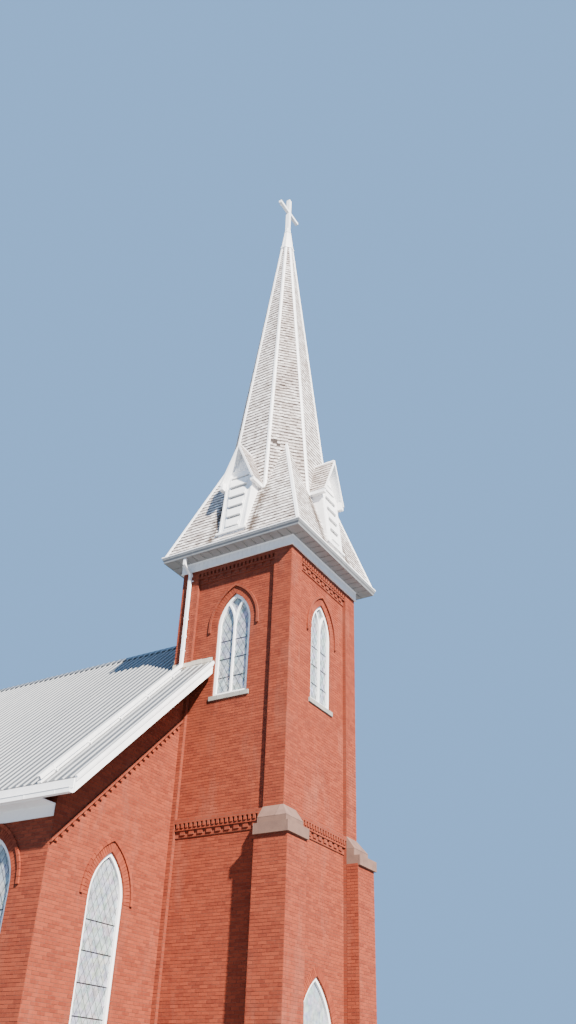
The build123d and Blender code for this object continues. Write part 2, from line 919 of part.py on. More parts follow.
def spire_parts():
    write("spire_skirt", spire_skirt())
    write("spire_shell", spire_shell())
    write("spire_hip_strips", spire_hip_strips() + broach_hip_strips())
    write("spire_cap", spire_cap())
    write("spire_cross", cross())
    write("dormer_bodies", on_all_faces(dormer_body()))
    write("dormer_roofs", on_all_faces(dormer_roof()))
    write("dormer_rake_boards", on_all_faces(dormer_rake_boards()))
    write("dormer_louvres", on_all_faces(dormer_louvres()))


def nave_parts():
    write("nave_plinth", nave_plinth())
    write("floors", pieces([tower_floor(), nave_floor()]))
    write("nave_left_wall", side_wall("left"))
    write("nave_right_wall", side_wall("right"))
    write("nave_front_left_wall", flank_wall(-1))
    write("nave_front_right_wall", flank_wall(1))
    write("nave_back_wall", back_wall())


def window_parts():
    tower_sizes = (tower_window_width, tower_window_sill, tower_window_spring)
    nave_sizes = (nave_window_width, nave_window_sill, nave_window_spring)
    write("tower_window_frames", pieces(tower_window_group(traceried_frame, *tower_sizes)))
    write("tower_window_glass", pieces(tower_window_group(window_pane, *tower_sizes)))
    write("nave_window_frames", pieces(nave_window_group(window_frame_solid, *nave_sizes)))
    write("nave_window_glass", pieces(nave_window_group(window_pane, *nave_sizes)))
    sills = tower_window_group(window_sill, tower_window_width, tower_window_sill)
    sills += nave_window_group(window_sill, nave_window_width, nave_window_sill)
    write("window_sills", pieces(sills))
    hoods = tower_window_group(window_hood, tower_window_width, tower_window_spring)
    write("tower_window_hoods", pieces(hoods))


def roof_parts():
    for name, side in (("left", -1), ("right", 1)):
        write("nave_roof_deck_" + name, roof_deck(side))
        write("nave_roof_sheet_" + name, roof_sheet(side))
    write("nave_eave_boards", pieces([eave_boards(-1), eave_boards(1)]))
    write("nave_gutters", pieces([nave_gutter(-1), nave_gutter(1)]))
    write("nave_ridge_cap", ridge_cap())
    write("nave_bargeboards", bargeboards())
    write("tower_roof_flashing", roof_flashing())


def main():
    os.makedirs("parts", exist_ok=True)
    tower_parts()
    spire_parts()
    nave_parts()
    window_parts()
    roof_parts()


main()
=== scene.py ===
import json
import math

import bpy
from mathutils import Matrix, Vector


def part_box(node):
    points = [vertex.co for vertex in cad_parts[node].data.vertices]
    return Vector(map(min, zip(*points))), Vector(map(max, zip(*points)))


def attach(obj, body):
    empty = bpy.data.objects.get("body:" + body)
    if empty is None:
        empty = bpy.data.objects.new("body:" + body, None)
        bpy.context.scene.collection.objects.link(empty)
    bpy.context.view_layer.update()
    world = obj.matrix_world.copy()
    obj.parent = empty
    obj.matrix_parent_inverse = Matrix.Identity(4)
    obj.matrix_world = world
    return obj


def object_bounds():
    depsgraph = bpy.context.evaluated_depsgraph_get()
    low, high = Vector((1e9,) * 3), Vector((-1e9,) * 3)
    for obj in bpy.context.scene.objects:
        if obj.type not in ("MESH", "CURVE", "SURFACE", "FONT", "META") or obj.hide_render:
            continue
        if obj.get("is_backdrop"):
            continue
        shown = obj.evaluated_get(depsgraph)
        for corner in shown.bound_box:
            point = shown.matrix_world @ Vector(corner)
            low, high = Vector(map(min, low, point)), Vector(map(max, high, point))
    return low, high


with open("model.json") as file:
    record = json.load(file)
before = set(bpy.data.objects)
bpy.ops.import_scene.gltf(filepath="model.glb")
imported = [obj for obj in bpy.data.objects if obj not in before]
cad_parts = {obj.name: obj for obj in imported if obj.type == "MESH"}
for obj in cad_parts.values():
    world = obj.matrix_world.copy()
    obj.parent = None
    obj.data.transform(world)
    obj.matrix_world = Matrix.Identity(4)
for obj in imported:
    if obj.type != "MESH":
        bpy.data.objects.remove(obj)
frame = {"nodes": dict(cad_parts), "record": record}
cad_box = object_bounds()


class Opening:
    # A pointed opening: half its width, and the heights of its sill and of its arch's spring.
    def __init__(self, half, sill, spring):
        self.half = half
        self.sill = sill
        self.spring = spring


# Masonry
course = 0.075
brick_length = 0.2235
mortar_joint = 0.010
brick_relief = 0.006
least_brick = 0.025
least_run = 0.03
course_slack = 0.02
voussoir_length = 0.215
hood_reach = 0.284
hood_pitch = 0.15

# Tower, in metres from its vertical axis
tower_half = 1.9
panel_half = 1.32
panel_face = 1.8
panel_foot = 1.15
tower_top = 15.12
table_foot = 14.67
middle_table = (7.35, 7.8)
plinth_top = 0.6
buttress_face = 2.23
buttress_top = 7.08
buttress_cap_top = 7.875
back_panel_foot = 12.6
back_side_foot = 12.1
spout_y = 1.6

# Spire
frieze_face = 1.93
frieze_reach = 1.94
frieze_foot = 15.14
frieze_top = 15.42
gutter_face = 2.345
soffit_level = 15.425
roof_base = 15.6
spire_apex = 32.7
spire_lean = 0.11181
shell_foot = 17.55
cap_foot = 30.75
cap_top = 31.83
skirt_apex = 22.846
skirt_slope = 3.09
skirt_top = 19.64
shingle_exposure = 0.1415
hip_strip_half = 0.0575
octagon_factor = math.tan(math.radians(22.5))
torn_face = 5

# Dormers
dormer_face = 2.27
dormer_foot = 15.9
dormer_eave = 17.8
dormer_peak = 19.27
dormer_lean = 0.123
dormer_eave_half = 0.63
dormer_edge = 2.21
louvre_foot = 16.08
louvre_head = 18.09
gable_moulding = 18.385

# Nave
nave_half = 5.95
gable_front = 1.456
gable_back = 16.956
ridge = 13.889
eave_reach = 6.39
verge_front = 0.566
verge_back = 17.846
wall_drop = 0.229
bays = 5
bay = 3.1
side_brick_top = 6.9
string_drop = 12.30
rib_pitch = 0.23
rib_height = 0.026
rib_count = 74
ribs_a_sheet = 4
first_rib = 0.696
gutter_reach = eave_reach + 0.11
gutter_lip_level = 7.27
root_two = math.sqrt(2)

# Windows and entrance
tower_window = Opening(0.55, 11.007, 13.117)
nave_window = Opening(0.6, 2.0, 5.551)
entrance = Opening(0.85, 0.6, 2.9)
gable_window_place = (tower_half + nave_half) / 2
glass_face = Matrix.Translation((0, 0, -0.1))

up = Vector((0, 0, 1))
outward = {
    "front": Vector((0, -1, 0)),
    "right": Vector((1, 0, 0)),
    "back": Vector((0, 1, 0)),
    "left": Vector((-1, 0, 0)),
}
four_sides = [(out, up.cross(out)) for out in outward.values()]
long_sides = (("left", -1), ("right", 1))


def node_sum(operation, turned=False):
    def add(self, other=0.0):
        first, second = (other, self) if turned else (self, other)
        return self.net.math(operation, first, second)

    return add


class Value:
    # A node's result. Sums on it add nodes.
    __add__ = node_sum("ADD")
    __sub__ = node_sum("SUBTRACT")
    __rsub__ = node_sum("SUBTRACT", turned=True)
    __mul__ = node_sum("MULTIPLY")
    __truediv__ = node_sum("DIVIDE")
    __mod__ = node_sum("FLOORED_MODULO")
    __lt__ = node_sum("LESS_THAN")
    __gt__ = node_sum("GREATER_THAN")
    __abs__ = node_sum("ABSOLUTE")

    def __init__(self, net, socket):
        self.net = net
        self.socket = socket


class Net:
    # Adds nodes to a tree. An input takes a number, a colour or another node's result.
    def __init__(self, tree):
        self.tree = tree

    def plug(self, socket, value):
        if isinstance(value, Value):
            self.tree.links.new(value.socket, socket)
        else:
            socket.default_value = (*value, 1.0) if socket.type == "RGBA" else value

    def add(self, kind, inputs=None, **settings):
        node = self.tree.nodes.new(kind)
        for key, value in settings.items():
            setattr(node, key, value)
        for key, value in (inputs or {}).items():
            self.plug(node.inputs[key], value)
        return node

    def get(self, kind, inputs=None, output=0, **settings):
        return Value(self, self.add(kind, inputs, **settings).outputs[output])

    def math(self, operation, a, b=0.0):
        return self.get("ShaderNodeMath", {0: a, 1: b}, operation=operation)

    def least(self, a, b):
        return self.math("MINIMUM", a, b)

    def most(self, a, b):
        return self.math("MAXIMUM", a, b)

    def split(self, vector):
        return [Value(self, part) for part in self.add("ShaderNodeSeparateXYZ", {0: vector}).outputs]

    def join(self, x, y, z=0.0):
        return self.get("ShaderNodeCombineXYZ", {0: x, 1: y, 2: z})

    def scaled(self, vector, factors):
        return self.get("ShaderNodeVectorMath", {0: vector, 1: factors}, operation="MULTIPLY")

    def between(self, value, low, high, to_low=0.0, to_high=1.0):
        inputs = {"Value": value, "From Min": low, "From Max": high, "To Min": to_low, "To Max": to_high}
        return self.get("ShaderNodeMapRange", inputs, "Result", clamp=True)

    def blend(self, share, first, second):
        return self.get("ShaderNodeMix", {0: share, 2: first, 3: second}, data_type="FLOAT")


class Finish(Net):
    # A material's nodes round its surface shader.
    def __init__(self, name, roughness, metallic=0.0, specular=0.5):
        self.material = bpy.data.materials.new(name)
        self.material.use_nodes = True
        super().__init__(self.material.node_tree)
        self.shader = self.tree.nodes["Principled BSDF"].inputs
        self.shader["Roughness"].default_value = roughness
        self.shader["Metallic"].default_value = metallic
        self.shader["Specular IOR Level"].default_value = specular
        coordinates = self.add("ShaderNodeTexCoord").outputs
        self.place = Value(self, coordinates["Object"])
        self.normal = Value(self, coordinates["Normal"])

    def finished(self, base, height, depth, rough=None):
        # The material, with its colour, its relief and any change in its roughness.
        inputs = {"Height": height, "Distance": depth, "Strength": 1.0}
        self.plug(self.shader["Base Color"], base)
        self.plug(self.shader["Normal"], self.get("ShaderNodeBump", inputs, "Normal"))
        if rough is not None:
            self.plug(self.shader["Roughness"], rough)
        return self.material

    def noise(self, scale, detail=3.0, roughness=0.55, stretch=(1.0, 1.0, 1.0)):
        # Noise on object coordinates, each multiplied by its part of stretch.
        inputs = {"Vector": self.scaled(self.place, stretch), "Scale": scale, "Detail": detail,
                  "Roughness": roughness}
        return self.get("ShaderNodeTexNoise", inputs, "Fac")

    def marked(self, name):
        return self.get("ShaderNodeAttribute", output="Fac", attribute_name=name)

    def mix(self, share, first, second, blend="MIX"):
        inputs = {0: share, 6: first, 7: second}
        return self.get("ShaderNodeMix", inputs, 2, data_type="RGBA", blend_type=blend)

    def cover(self, base, colour, pattern, low, high, most):
        # Lays colour over base where the pattern is high, up to this share.
        return self.mix(self.between(pattern, low, high, 0.0, most), base, colour)

    def across_wall(self):
        # Along the wall in X and up it in Y, whichever way the wall faces.
        x, y, z = self.split(self.place)
        sideways = abs(self.split(self.normal)[0]) > 0.5
        return self.join(self.blend(sideways, x, y), z)

    def bond(self, first, second, mortar, length, height, joint_half, smooth):
        # Blocks in running bond: their colours, and where the joints are.
        inputs = {
            "Vector": self.across_wall(), "Color1": first, "Color2": second, "Mortar": mortar, "Scale": 1.0,
            "Mortar Size": joint_half, "Mortar Smooth": smooth, "Brick Width": length, "Row Height": height,
        }
        outputs = self.add("ShaderNodeTexBrick", inputs).outputs
        return Value(self, outputs["Color"]), Value(self, outputs["Fac"])


# Finishes

def weathered_brick(net, base):
    # Faint salt bloom in tall streaks, then soot.
    streaks = net.noise(1.5, 5.0, 0.6, (1.0, 1.0, 0.32))
    base = net.cover(base, (0.300, 0.121, 0.082), streaks, 0.54, 0.76, 0.28)
    soot = net.noise(2.3, 4.0, stretch=(0.8, 0.8, 0.5))
    return net.cover(base, (0.071, 0.018, 0.014), soot, 0.58, 0.8, 0.3)


def brick_wall_finish():
    net = Finish("brickwork", 0.9, specular=0.25)
    base, joints = net.bond((0.164, 0.029, 0.013), (0.204, 0.039, 0.017), (0.157, 0.064, 0.043),
                            brick_length, course, mortar_joint / 2, 0.2)
    return net.finished(weathered_brick(net, base), net.noise(90.0) * 0.25 - joints, 0.006)


def laid_brick_finish():
    net = Finish("laid_brick", 0.88, specular=0.25)
    base = net.mix(net.marked("tint"), (0.146, 0.024, 0.011), (0.232, 0.044, 0.019))
    base = net.cover(base, (0.264, 0.060, 0.026), net.noise(14.0, 4.0), 0.35, 0.7, 0.35)
    return net.finished(weathered_brick(net, base), net.noise(70.0, 4.0, 0.65), 0.003)


def dressed_stone_finish(name, light, mid, dark, mortar, length, height):
    net = Finish(name, 0.85)
    base, joints = net.bond(mid, light, mortar, length, height, 0.005, 0.3)
    base = net.cover(base, dark, net.noise(3.5, 5.0), 0.42, 0.72, 0.55)
    return net.finished(base, net.noise(60.0, 5.0, 0.7) * 0.4 - joints, 0.005)


def run_off(net):
    # The brown strips where water drips from the dormers' eaves down the skirt.
    x, y, z = net.split(net.place)
    aside = net.least(abs(x), abs(y))
    strip = net.between(aside, 0.56, 0.66) * net.between(aside, 0.74, 0.96, 1.0, 0.0)
    below_eaves = net.between(z, 17.5, 17.9, 1.0, 0.0)
    ragged = net.noise(1.6, 4.0, 0.65, (5.0, 5.0, 2.2))
    return strip * below_eaves * net.between(ragged, 0.32, 0.50, 0.0, 0.9)


def weather_side(net):
    # The spire's browner face, which looks forwards and left.
    x, y = net.split(net.normal)[:2]
    towards = (x + y) * -0.7071
    cloud = net.noise(1.3, 4.0, 0.6, (2.0, 2.0, 0.8))
    return net.between(towards, 0.90, 0.97) * net.between(cloud, 0.36, 0.62, 0.1, 0.55)


def shingle_finish(name, first, second, dark):
    # Weathered wooden shingles, streaked down the slope, and darker over the upper part of each one up to the
    # next butt: partly dirt, partly painted shadow of that butt.
    net = Finish(name, 0.9)
    base = net.mix(net.marked("tint"), first, second)
    base = net.cover(base, dark, net.noise(1.7, 5.0, 0.6, (1.0, 1.0, 0.35)), 0.50, 0.72, 0.6)
    base = net.mix(weather_side(net), base, dark)
    grain = net.noise(1.0, stretch=(60.0, 60.0, 4.0))
    base = net.cover(base, (0.171, 0.121, 0.104), grain, 0.35, 0.8, 0.28)
    patchy = net.noise(1.0, 4.0, 0.7, (3.2, 3.2, 7.0))
    # Painted shadow of the next butt, mixed with dirt, in ragged dashes over the upper part of each shingle.
    butt_shadow_and_dirt = net.between(net.marked("rise"), 0.48, 0.62) * net.between(patchy, 0.34, 0.56, 0.6, 1.0)
    base = net.mix(butt_shadow_and_dirt, base, (0.029, 0.016, 0.013))
    return net.finished(net.mix(run_off(net), base, (0.061, 0.036, 0.021)), grain, 0.003)


def painted_board_finish(name, base, shade):
    net = Finish(name, 0.55)
    base = net.cover(base, shade, net.noise(2.6, 5.0, stretch=(1.0, 1.0, 0.4)), 0.5, 0.75, 0.4)
    grain = net.noise(1.0, 4.0, stretch=(9.0, 9.0, 30.0))
    base = net.cover(base, shade, grain, 0.45, 0.8, 0.16)
    return net.finished(base, grain, 0.0012, net.between(grain, 0.3, 0.8, 0.47, 0.73))


def painted_metal_finish(name, base, shade, roughness=0.38):
    net = Finish(name, roughness)
    base = net.cover(base, shade, net.noise(2.0, 5.0, stretch=(2.5, 2.5, 0.25)), 0.45, 0.72, 0.45)
    dust = net.noise(11.0, 4.0)
    base = net.cover(base, shade, dust, 0.5, 0.8, 0.25)
    rough = net.between(dust, 0.3, 0.75, roughness - 0.06, roughness + 0.16)
    return net.finished(base, net.noise(3.0, 2.0), 0.003, rough)


def roof_sheet_finish():
    # Ribs painted much brighter than the pans, a painted highlight of their sunlit flanks, with dust and a
    # slightly different grey on each sheet's pans.
    net = Finish("roof_sheet", 0.36, 0.2)
    step = (net.split(net.place)[1] - first_rib) / rib_pitch
    sheet = net.math("FLOOR", (step + 0.5) / ribs_a_sheet)
    tone = net.get("ShaderNodeTexWhiteNoise", {"W": sheet}, "Value", noise_dimensions="1D")
    pan = net.mix(tone, (0.061, 0.066, 0.071), (0.089, 0.094, 0.101))
    dust = net.noise(2.4, 5.0, stretch=(0.5, 3.0, 0.5))
    pan = net.cover(pan, (0.054, 0.053, 0.051), dust, 0.45, 0.75, 0.5)
    off_rib = abs(step - net.math("ROUND", step))
    # The pale rib colour is a painted highlight.
    base = net.mix(net.between(off_rib, 0.10, 0.15, 1.0, 0.0), pan, (0.357, 0.368, 0.379))
    return net.finished(base, net.noise(3.0, 2.0), 0.003, net.between(dust, 0.3, 0.75, 0.32, 0.5))


def boards_finish(name, first, second, width):
    # Bare or stained boards with dark joints.
    net = Finish(name, 0.75)
    joint = net.math("FRACT", net.split(net.place)[0] / width) < 0.05
    grain = net.noise(1.0, 5.0, stretch=(24.0, 2.0, 2.0))
    base = net.mix(net.between(grain, 0.3, 0.7), first, second)
    return net.finished(net.mix(joint * 0.8, base, (0.014, 0.011, 0.009)), grain * 0.3 - joint, 0.004)


def glass_finish():
    net = Finish("leaded_glass", 0.12, specular=0.7)
    ripple = net.noise(7.0)
    panes = net.get("ShaderNodeTexVoronoi", {"Vector": net.place, "Scale": 6.5}, "Color")
    base = net.mix(net.between(ripple, 0.35, 0.7), (0.20, 0.23, 0.26), (0.42, 0.46, 0.50))
    return net.finished(net.mix(0.15, base, panes, "SOFT_LIGHT"), ripple, 0.004)


def dull_metal_finish(name, low, high, roughness, metallic):
    net = Finish(name, roughness, metallic)
    bloom = net.noise(30.0, 4.0)
    base = net.mix(net.between(bloom, 0.35, 0.7), low, high)
    return net.finished(base, bloom, 0.0008, net.between(bloom, 0.3, 0.7, roughness - 0.1, roughness + 0.1))


finishes = {
    "brick": brick_wall_finish(),
    "laid_brick": laid_brick_finish(),
    "stone": dressed_stone_finish("dressed_stone", (0.300, 0.293, 0.271), (0.236, 0.229, 0.214),
                                  (0.143, 0.136, 0.121), (0.157, 0.150, 0.143), 0.75, 0.3),
    "sandstone": dressed_stone_finish("red_sandstone", (0.186, 0.107, 0.082), (0.143, 0.079, 0.057),
                                      (0.086, 0.046, 0.036), (0.093, 0.057, 0.043), 0.9, 0.5),
    "shingle": shingle_finish("shingles", (0.50, 0.455, 0.43), (0.95, 0.92, 0.90), (0.25, 0.195, 0.172)),
    "brown_shingle": shingle_finish("brown_shingles", (0.34, 0.295, 0.27), (0.66, 0.61, 0.58),
                                    (0.17, 0.13, 0.11)),
    "shingle_bed": shingle_finish("shingle_bed", (0.020, 0.014, 0.012), (0.032, 0.024, 0.020),
                                  (0.011, 0.008, 0.006)),
    "white_wood": painted_board_finish("white_boards", (0.90, 0.905, 0.91), (0.66, 0.67, 0.68)),
    # The soffit's grey, darker than the white boards, is painted shade of the underside.
    "soffit_paint": painted_board_finish("soffit_panels", (0.27, 0.266, 0.255), (0.19, 0.188, 0.18)),
    "white_metal": painted_metal_finish("white_sheet", (0.90, 0.905, 0.91), (0.68, 0.69, 0.70)),
    # Grey screws; on the white gutters this grey is painted shade of their lower body, under the white lips.
    "grey_metal": painted_metal_finish("grey_sheet", (0.193, 0.200, 0.204), (0.129, 0.132, 0.136)),
    "flashing": painted_metal_finish("cream_flashing", (0.500, 0.450, 0.371), (0.257, 0.221, 0.179), 0.6),
    "roof_metal": roof_sheet_finish(),
    "roof_deck": boards_finish("verge_boards", (0.061, 0.036, 0.025), (0.100, 0.061, 0.043), 0.12),
    "door_wood": boards_finish("door_boards", (0.064, 0.025, 0.014), (0.107, 0.046, 0.025), 0.14),
    "floor_wood": boards_finish("floor_boards", (0.157, 0.093, 0.054), (0.229, 0.143, 0.086), 0.13),
    "glass": glass_finish(),
    "lead": dull_metal_finish("grey_lead", (0.071, 0.075, 0.079), (0.171, 0.175, 0.179), 0.6, 0.5),
    "iron": dull_metal_finish("black_iron", (0.013, 0.012, 0.012), (0.036, 0.032, 0.030), 0.5, 0.7),
}

record_slots = {
    "laid_brick": "brick", "sandstone": "stone", "brown_shingle": "shingle", "shingle_bed": "shingle",
    "soffit_paint": "white_wood", "grey_metal": "white_metal", "flashing": "roof_metal", "lead": "glass",
    "iron": "door_wood",
}

# The grey on tower_gutter is painted shade of a white gutter.
cad_finishes = {
    "spire_shell": "shingle_bed", "spire_skirt": "shingle_bed", "dormer_roofs": "white_wood",
    "buttress_caps": "sandstone", "tower_gutter": "grey_metal", "tower_roof_flashing": "flashing",
}


# Makers

class Maker(Net):
    # A Geometry Nodes tree with named inputs, built once and run with the sizes of each piece.
    def __init__(self, name, lengths):
        super().__init__(bpy.data.node_groups.new(name, "GeometryNodeTree"))
        kinds = {"Geometry": "NodeSocketGeometry", "Seed": "NodeSocketInt", "Material": "NodeSocketMaterial"}
        kinds.update({label: "NodeSocketFloat" for label in lengths})
        for label, kind in kinds.items():
            self.tree.interface.new_socket(label, in_out="INPUT", socket_type=kind)
        self.tree.interface.new_socket("Geometry", in_out="OUTPUT", socket_type="NodeSocketGeometry")
        sockets = self.tree.nodes.new("NodeGroupInput").outputs
        self.size = {socket.name: Value(self, socket) for socket in sockets}

    def random(self, low, high, item, seed):
        inputs = {2: low, 3: high, 7: item, 8: seed}
        return self.get("FunctionNodeRandomValue", inputs, 1, data_type="FLOAT")

    def store(self, geometry, name, value):
        inputs = {0: geometry, 2: name, 3: value}
        return self.get("GeometryNodeStoreNamedAttribute", inputs, data_type="FLOAT", domain="POINT")

    def stored(self, name):
        return self.get("GeometryNodeInputNamedAttribute", {0: name}, data_type="FLOAT_VECTOR")

    def moved(self, geometry, position):
        return self.get("GeometryNodeSetPosition", {0: geometry, 2: position})

    def copied(self, points, piece, turn, scale=(1.0, 1.0, 1.0)):
        turn = self.get("FunctionNodeEulerToRotation", {0: turn})
        inputs = {"Points": points, "Instance": piece, "Rotation": turn, "Scale": scale}
        pieces = self.get("GeometryNodeInstanceOnPoints", inputs)
        return self.get("GeometryNodeRealizeInstances", {0: pieces})

    def end(self, solid):
        solid = self.get("GeometryNodeSetMaterial", {0: solid, 2: self.size["Material"]})
        self.plug(self.tree.nodes.new("NodeGroupOutput").inputs[0], solid)
        return self

    def run(self, sizes, base=None):
        # The tree's result as a plain mesh.
        piece = bpy.data.objects.new("work", base or bpy.data.meshes.new("work"))
        bpy.context.scene.collection.objects.link(piece)
        maker = piece.modifiers.new("maker", "NODES")
        maker.node_group = self.tree
        for socket in self.tree.interface.items_tree:
            if socket.in_out == "INPUT" and socket.name in sizes:
                maker[socket.identifier] = sizes[socket.name]
        depsgraph = bpy.context.evaluated_depsgraph_get()
        mesh = bpy.data.meshes.new_from_object(piece.evaluated_get(depsgraph), preserve_all_data_layers=True,
                                               depsgraph=depsgraph)
        bpy.data.objects.remove(piece)
        return mesh


edge_names = ("Left Foot", "Right Foot", "Left Top", "Right Top")
edge_slack = 0.002
tint_seed_step = 7.0
drop_seed = 3
turn_seed = 5
depth_seed = 11


def course_spots(net, index):
    # The middle of every place in every course, before the edges are cut.
    size = net.size
    width, exposure = size["Piece Width"], size["Exposure"]
    rows = net.math("CEIL", size["Length"] / exposure - 0.01)
    low = net.least(size["Left Foot"], size["Left Top"])
    high = net.most(size["Right Foot"], size["Right Top"])
    columns = net.math("CEIL", (high - low) / width) + 2.0
    grid = net.get("GeometryNodeMeshGrid", {"Vertices X": columns, "Vertices Y": rows})
    row, column = index % rows, net.math("FLOOR", index / rows)
    shift = net.random(0.0, 1.0, row, size["Seed"]) * size["Stagger"]
    return net.moved(grid, net.join((column + shift - 0.5) * width + low, (row + 0.5) * exposure))


def slope_edges(net, y):
    # How far the slope reaches to the left and right at a place up it.
    size = net.size
    share = y / size["Length"]
    return [share * (size[side + " Top"] - size[side + " Foot"]) + size[side + " Foot"]
            for side in ("Left", "Right")]


def torn_off(net, at):
    # A tear that steps down to the right over a few rows.
    size = net.size
    along = at[1] - size["Missing Up"]
    across = at[0] - size["Missing Across"] + along
    return net.most(abs(across), abs(along)) < size["Missing Reach"]


def wedge_piece(net):
    # One shingle or board, thickest at its lower edge.
    size = net.size
    x, y, z = net.split(net.get("GeometryNodeInputPosition"))
    cube = net.store(net.get("GeometryNodeMeshCube"), "rise", y + 0.5)
    thickness = net.blend(y < 0.0, size["Head"], size["Butt"])
    width = size["Piece Width"] - size["Gap"]
    length = size["Exposure"] - size["Joint"]
    return net.moved(cube, net.join(x * width, y * length, (z > 0.0) * thickness))


def coursed_slope_tree():
    # Shingles or boards in courses up a slope, trimmed to straight edges on the left and right.
    net = Maker("coursed_slope", (*edge_names, "Length", "Exposure", "Piece Width", "Gap", "Joint", "Butt",
                                  "Head", "Stagger", "Unevenness", "Missing Across", "Missing Up",
                                  "Missing Reach"))
    size = net.size
    index = net.get("GeometryNodeInputIndex")
    at = net.split(net.get("GeometryNodeInputPosition"))
    left, right = slope_edges(net, at[1])
    half = size["Piece Width"] / 2.0
    past_edge = net.most(at[0] + half < left + edge_slack, at[0] - half > right - edge_slack)
    left_out = net.most(past_edge, torn_off(net, at))
    spots = course_spots(net, index)
    spots = net.get("GeometryNodeDeleteGeometry", {0: spots, 1: left_out}, domain="POINT")
    spots = net.store(spots, "tint", net.random(0.0, 1.0, index, size["Seed"] + tint_seed_step))
    drop = net.random(-0.06, 0.06, index, drop_seed) * (size["Unevenness"] * size["Exposure"])
    spots = net.get("GeometryNodeSetPosition", {0: spots, 3: net.join(0.0, drop)})
    turn = net.random(-0.014, 0.014, index, turn_seed) * size["Unevenness"]
    solid = net.copied(spots, wedge_piece(net), net.join(0.0, 0.0, turn))
    trimmed = net.least(net.most(at[0], left), right)
    return net.end(net.moved(solid, net.join(trimmed, at[1], at[2])))


def laid_pieces_tree():
    # A block on each mark, as long, high and deep as the mark says, with a little unevenness in its depth.
    net = Maker("laid_pieces", ("Unevenness",))
    cube = net.get("GeometryNodeMeshCube")
    block = net.get("GeometryNodeTransform", {0: cube, "Translation": (0.0, 0.0, 0.5)})
    back = net.split(net.get("GeometryNodeInputNormal"))[2] < -0.5
    block = net.get("GeometryNodeDeleteGeometry", {0: block, 1: back}, domain="FACE")
    index = net.get("GeometryNodeInputIndex")
    marks = net.store(net.size["Geometry"], "tint", net.random(0.0, 1.0, index, net.size["Seed"]))
    depth = 1.0 - net.random(0.0, 1.0, index, depth_seed) * net.size["Unevenness"]
    scale = net.scaled(net.stored("extent"), net.join(1.0, 1.0, depth))
    return net.end(net.copied(marks, block, net.stored("turn"), scale))


coursed_slope = coursed_slope_tree()
laid_pieces = laid_pieces_tree()


# Placing

def face_frame(across, rise, origin):
    # Local X runs across, local Y up the face and local Z out of it.
    x, y = across.normalized(), rise.normalized()
    return Matrix.Translation(origin) @ Matrix((x, y, x.cross(y))).transposed().to_4x4()


def wall_frame(face, distance):
    out = outward[face]
    return face_frame(up.cross(out), up, out * distance)


def gable_frame(distance=0.0):
    # The nave's front walls beside the tower.
    return wall_frame("front", distance - gable_front)


def roof_frame(side):
    # Starts on the ridge line. Local Y runs up the slope, so places down the slope are negative.
    rise, out = Vector((-side, 0, 1)), Vector((side, 0, 1))
    return face_frame(rise.cross(out), rise, up * ridge)


def dormer_frame(out):
    # The dormer's leaning front, from its foot.
    return face_frame(up.cross(out), up - out * dormer_lean, out * dormer_face + up * dormer_foot)


def side_span(side, near, far):
    # Two distances from the middle as places on one side of it, from left to right.
    return sorted((side * near, side * far))


def shown(name, mesh, material):
    piece = bpy.data.objects.new(name, mesh)
    bpy.context.scene.collection.objects.link(piece)
    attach(piece, "root")
    record_slots.get(material, material)
    return piece


def built(name, shapes, material):
    # One piece from several lists of vertices and faces.
    vertices, faces = [], []
    for points, sides in shapes:
        start = len(vertices)
        vertices += [tuple(point) for point in points]
        faces += [tuple(start + index for index in side) for side in sides]
    mesh = bpy.data.meshes.new(name)
    mesh.from_pydata(vertices, [], faces)
    mesh.materials.append(finishes[material])
    return shown(name, mesh, material)


def coursed(name, slopes, material):
    # One piece from several slopes, with each shingle's or board's tint and the rise up it.
    shapes, marks = [], {"tint": [], "rise": []}
    for place, sizes in slopes:
        mesh = coursed_slope.run({**sizes, "Material": finishes[material]})
        mesh.transform(place)
        points = [tuple(vertex.co) for vertex in mesh.vertices]
        shapes.append((points, [tuple(polygon.vertices) for polygon in mesh.polygons]))
        for label, values in marks.items():
            values += [item.value for item in mesh.attributes[label].data]
        bpy.data.meshes.remove(mesh)
    piece = built(name, shapes, material)
    for label, values in marks.items():
        piece.data.attributes.new(label, "FLOAT", "POINT").data.foreach_set("value", values)


def laid(name, marks, material, unevenness=0.0, seed=1):
    # One piece of blocks, each on its mark.
    spots, turns, extents = zip(*marks)
    base = bpy.data.meshes.new("marks")
    base.from_pydata([tuple(spot) for spot in spots], [], [])
    for label, vectors in (("turn", turns), ("extent", extents)):
        values = [value for vector in vectors for value in vector]
        base.attributes.new(label, "FLOAT_VECTOR", "POINT").data.foreach_set("vector", values)
    mesh = laid_pieces.run({"Unevenness": unevenness, "Seed": seed, "Material": finishes[material]}, base)
    mesh.name = name
    shown(name, mesh, material)


def mark(place, x, y, width, height, depth, lean=0.0):
    # One block on a face: its centre, its width, height and depth, and its turn in the face.
    turned = place @ Matrix.Translation((x, y, 0)) @ Matrix.Rotation(lean, 4, "Z")
    return turned.translation, turned.to_euler(), (width, height, depth)


def slope(place, edges, length, **sizes):
    # edges are left foot, right foot, left top and right top, in metres from the frame's origin.
    values = dict(zip(edge_names, edges))
    values.update({"Length": length, "Seed": 1})
    values.update({key.replace("_", " ").title(): value for key, value in sizes.items()})
    return place, values


def board_sizes(exposure, thickness, groove=0.006, **changes):
    usual = {"exposure": exposure, "piece_width": 40.0, "joint": groove, "butt": thickness, "head": thickness}
    return {**usual, **changes}


def shingle_sizes(seed, **changes):
    usual = {
        "exposure": shingle_exposure, "piece_width": 0.125, "gap": 0.004, "joint": -0.012, "butt": 0.020,
        "head": 0.005, "stagger": 1.0, "unevenness": 1.0, "seed": seed,
    }
    return {**usual, **changes}


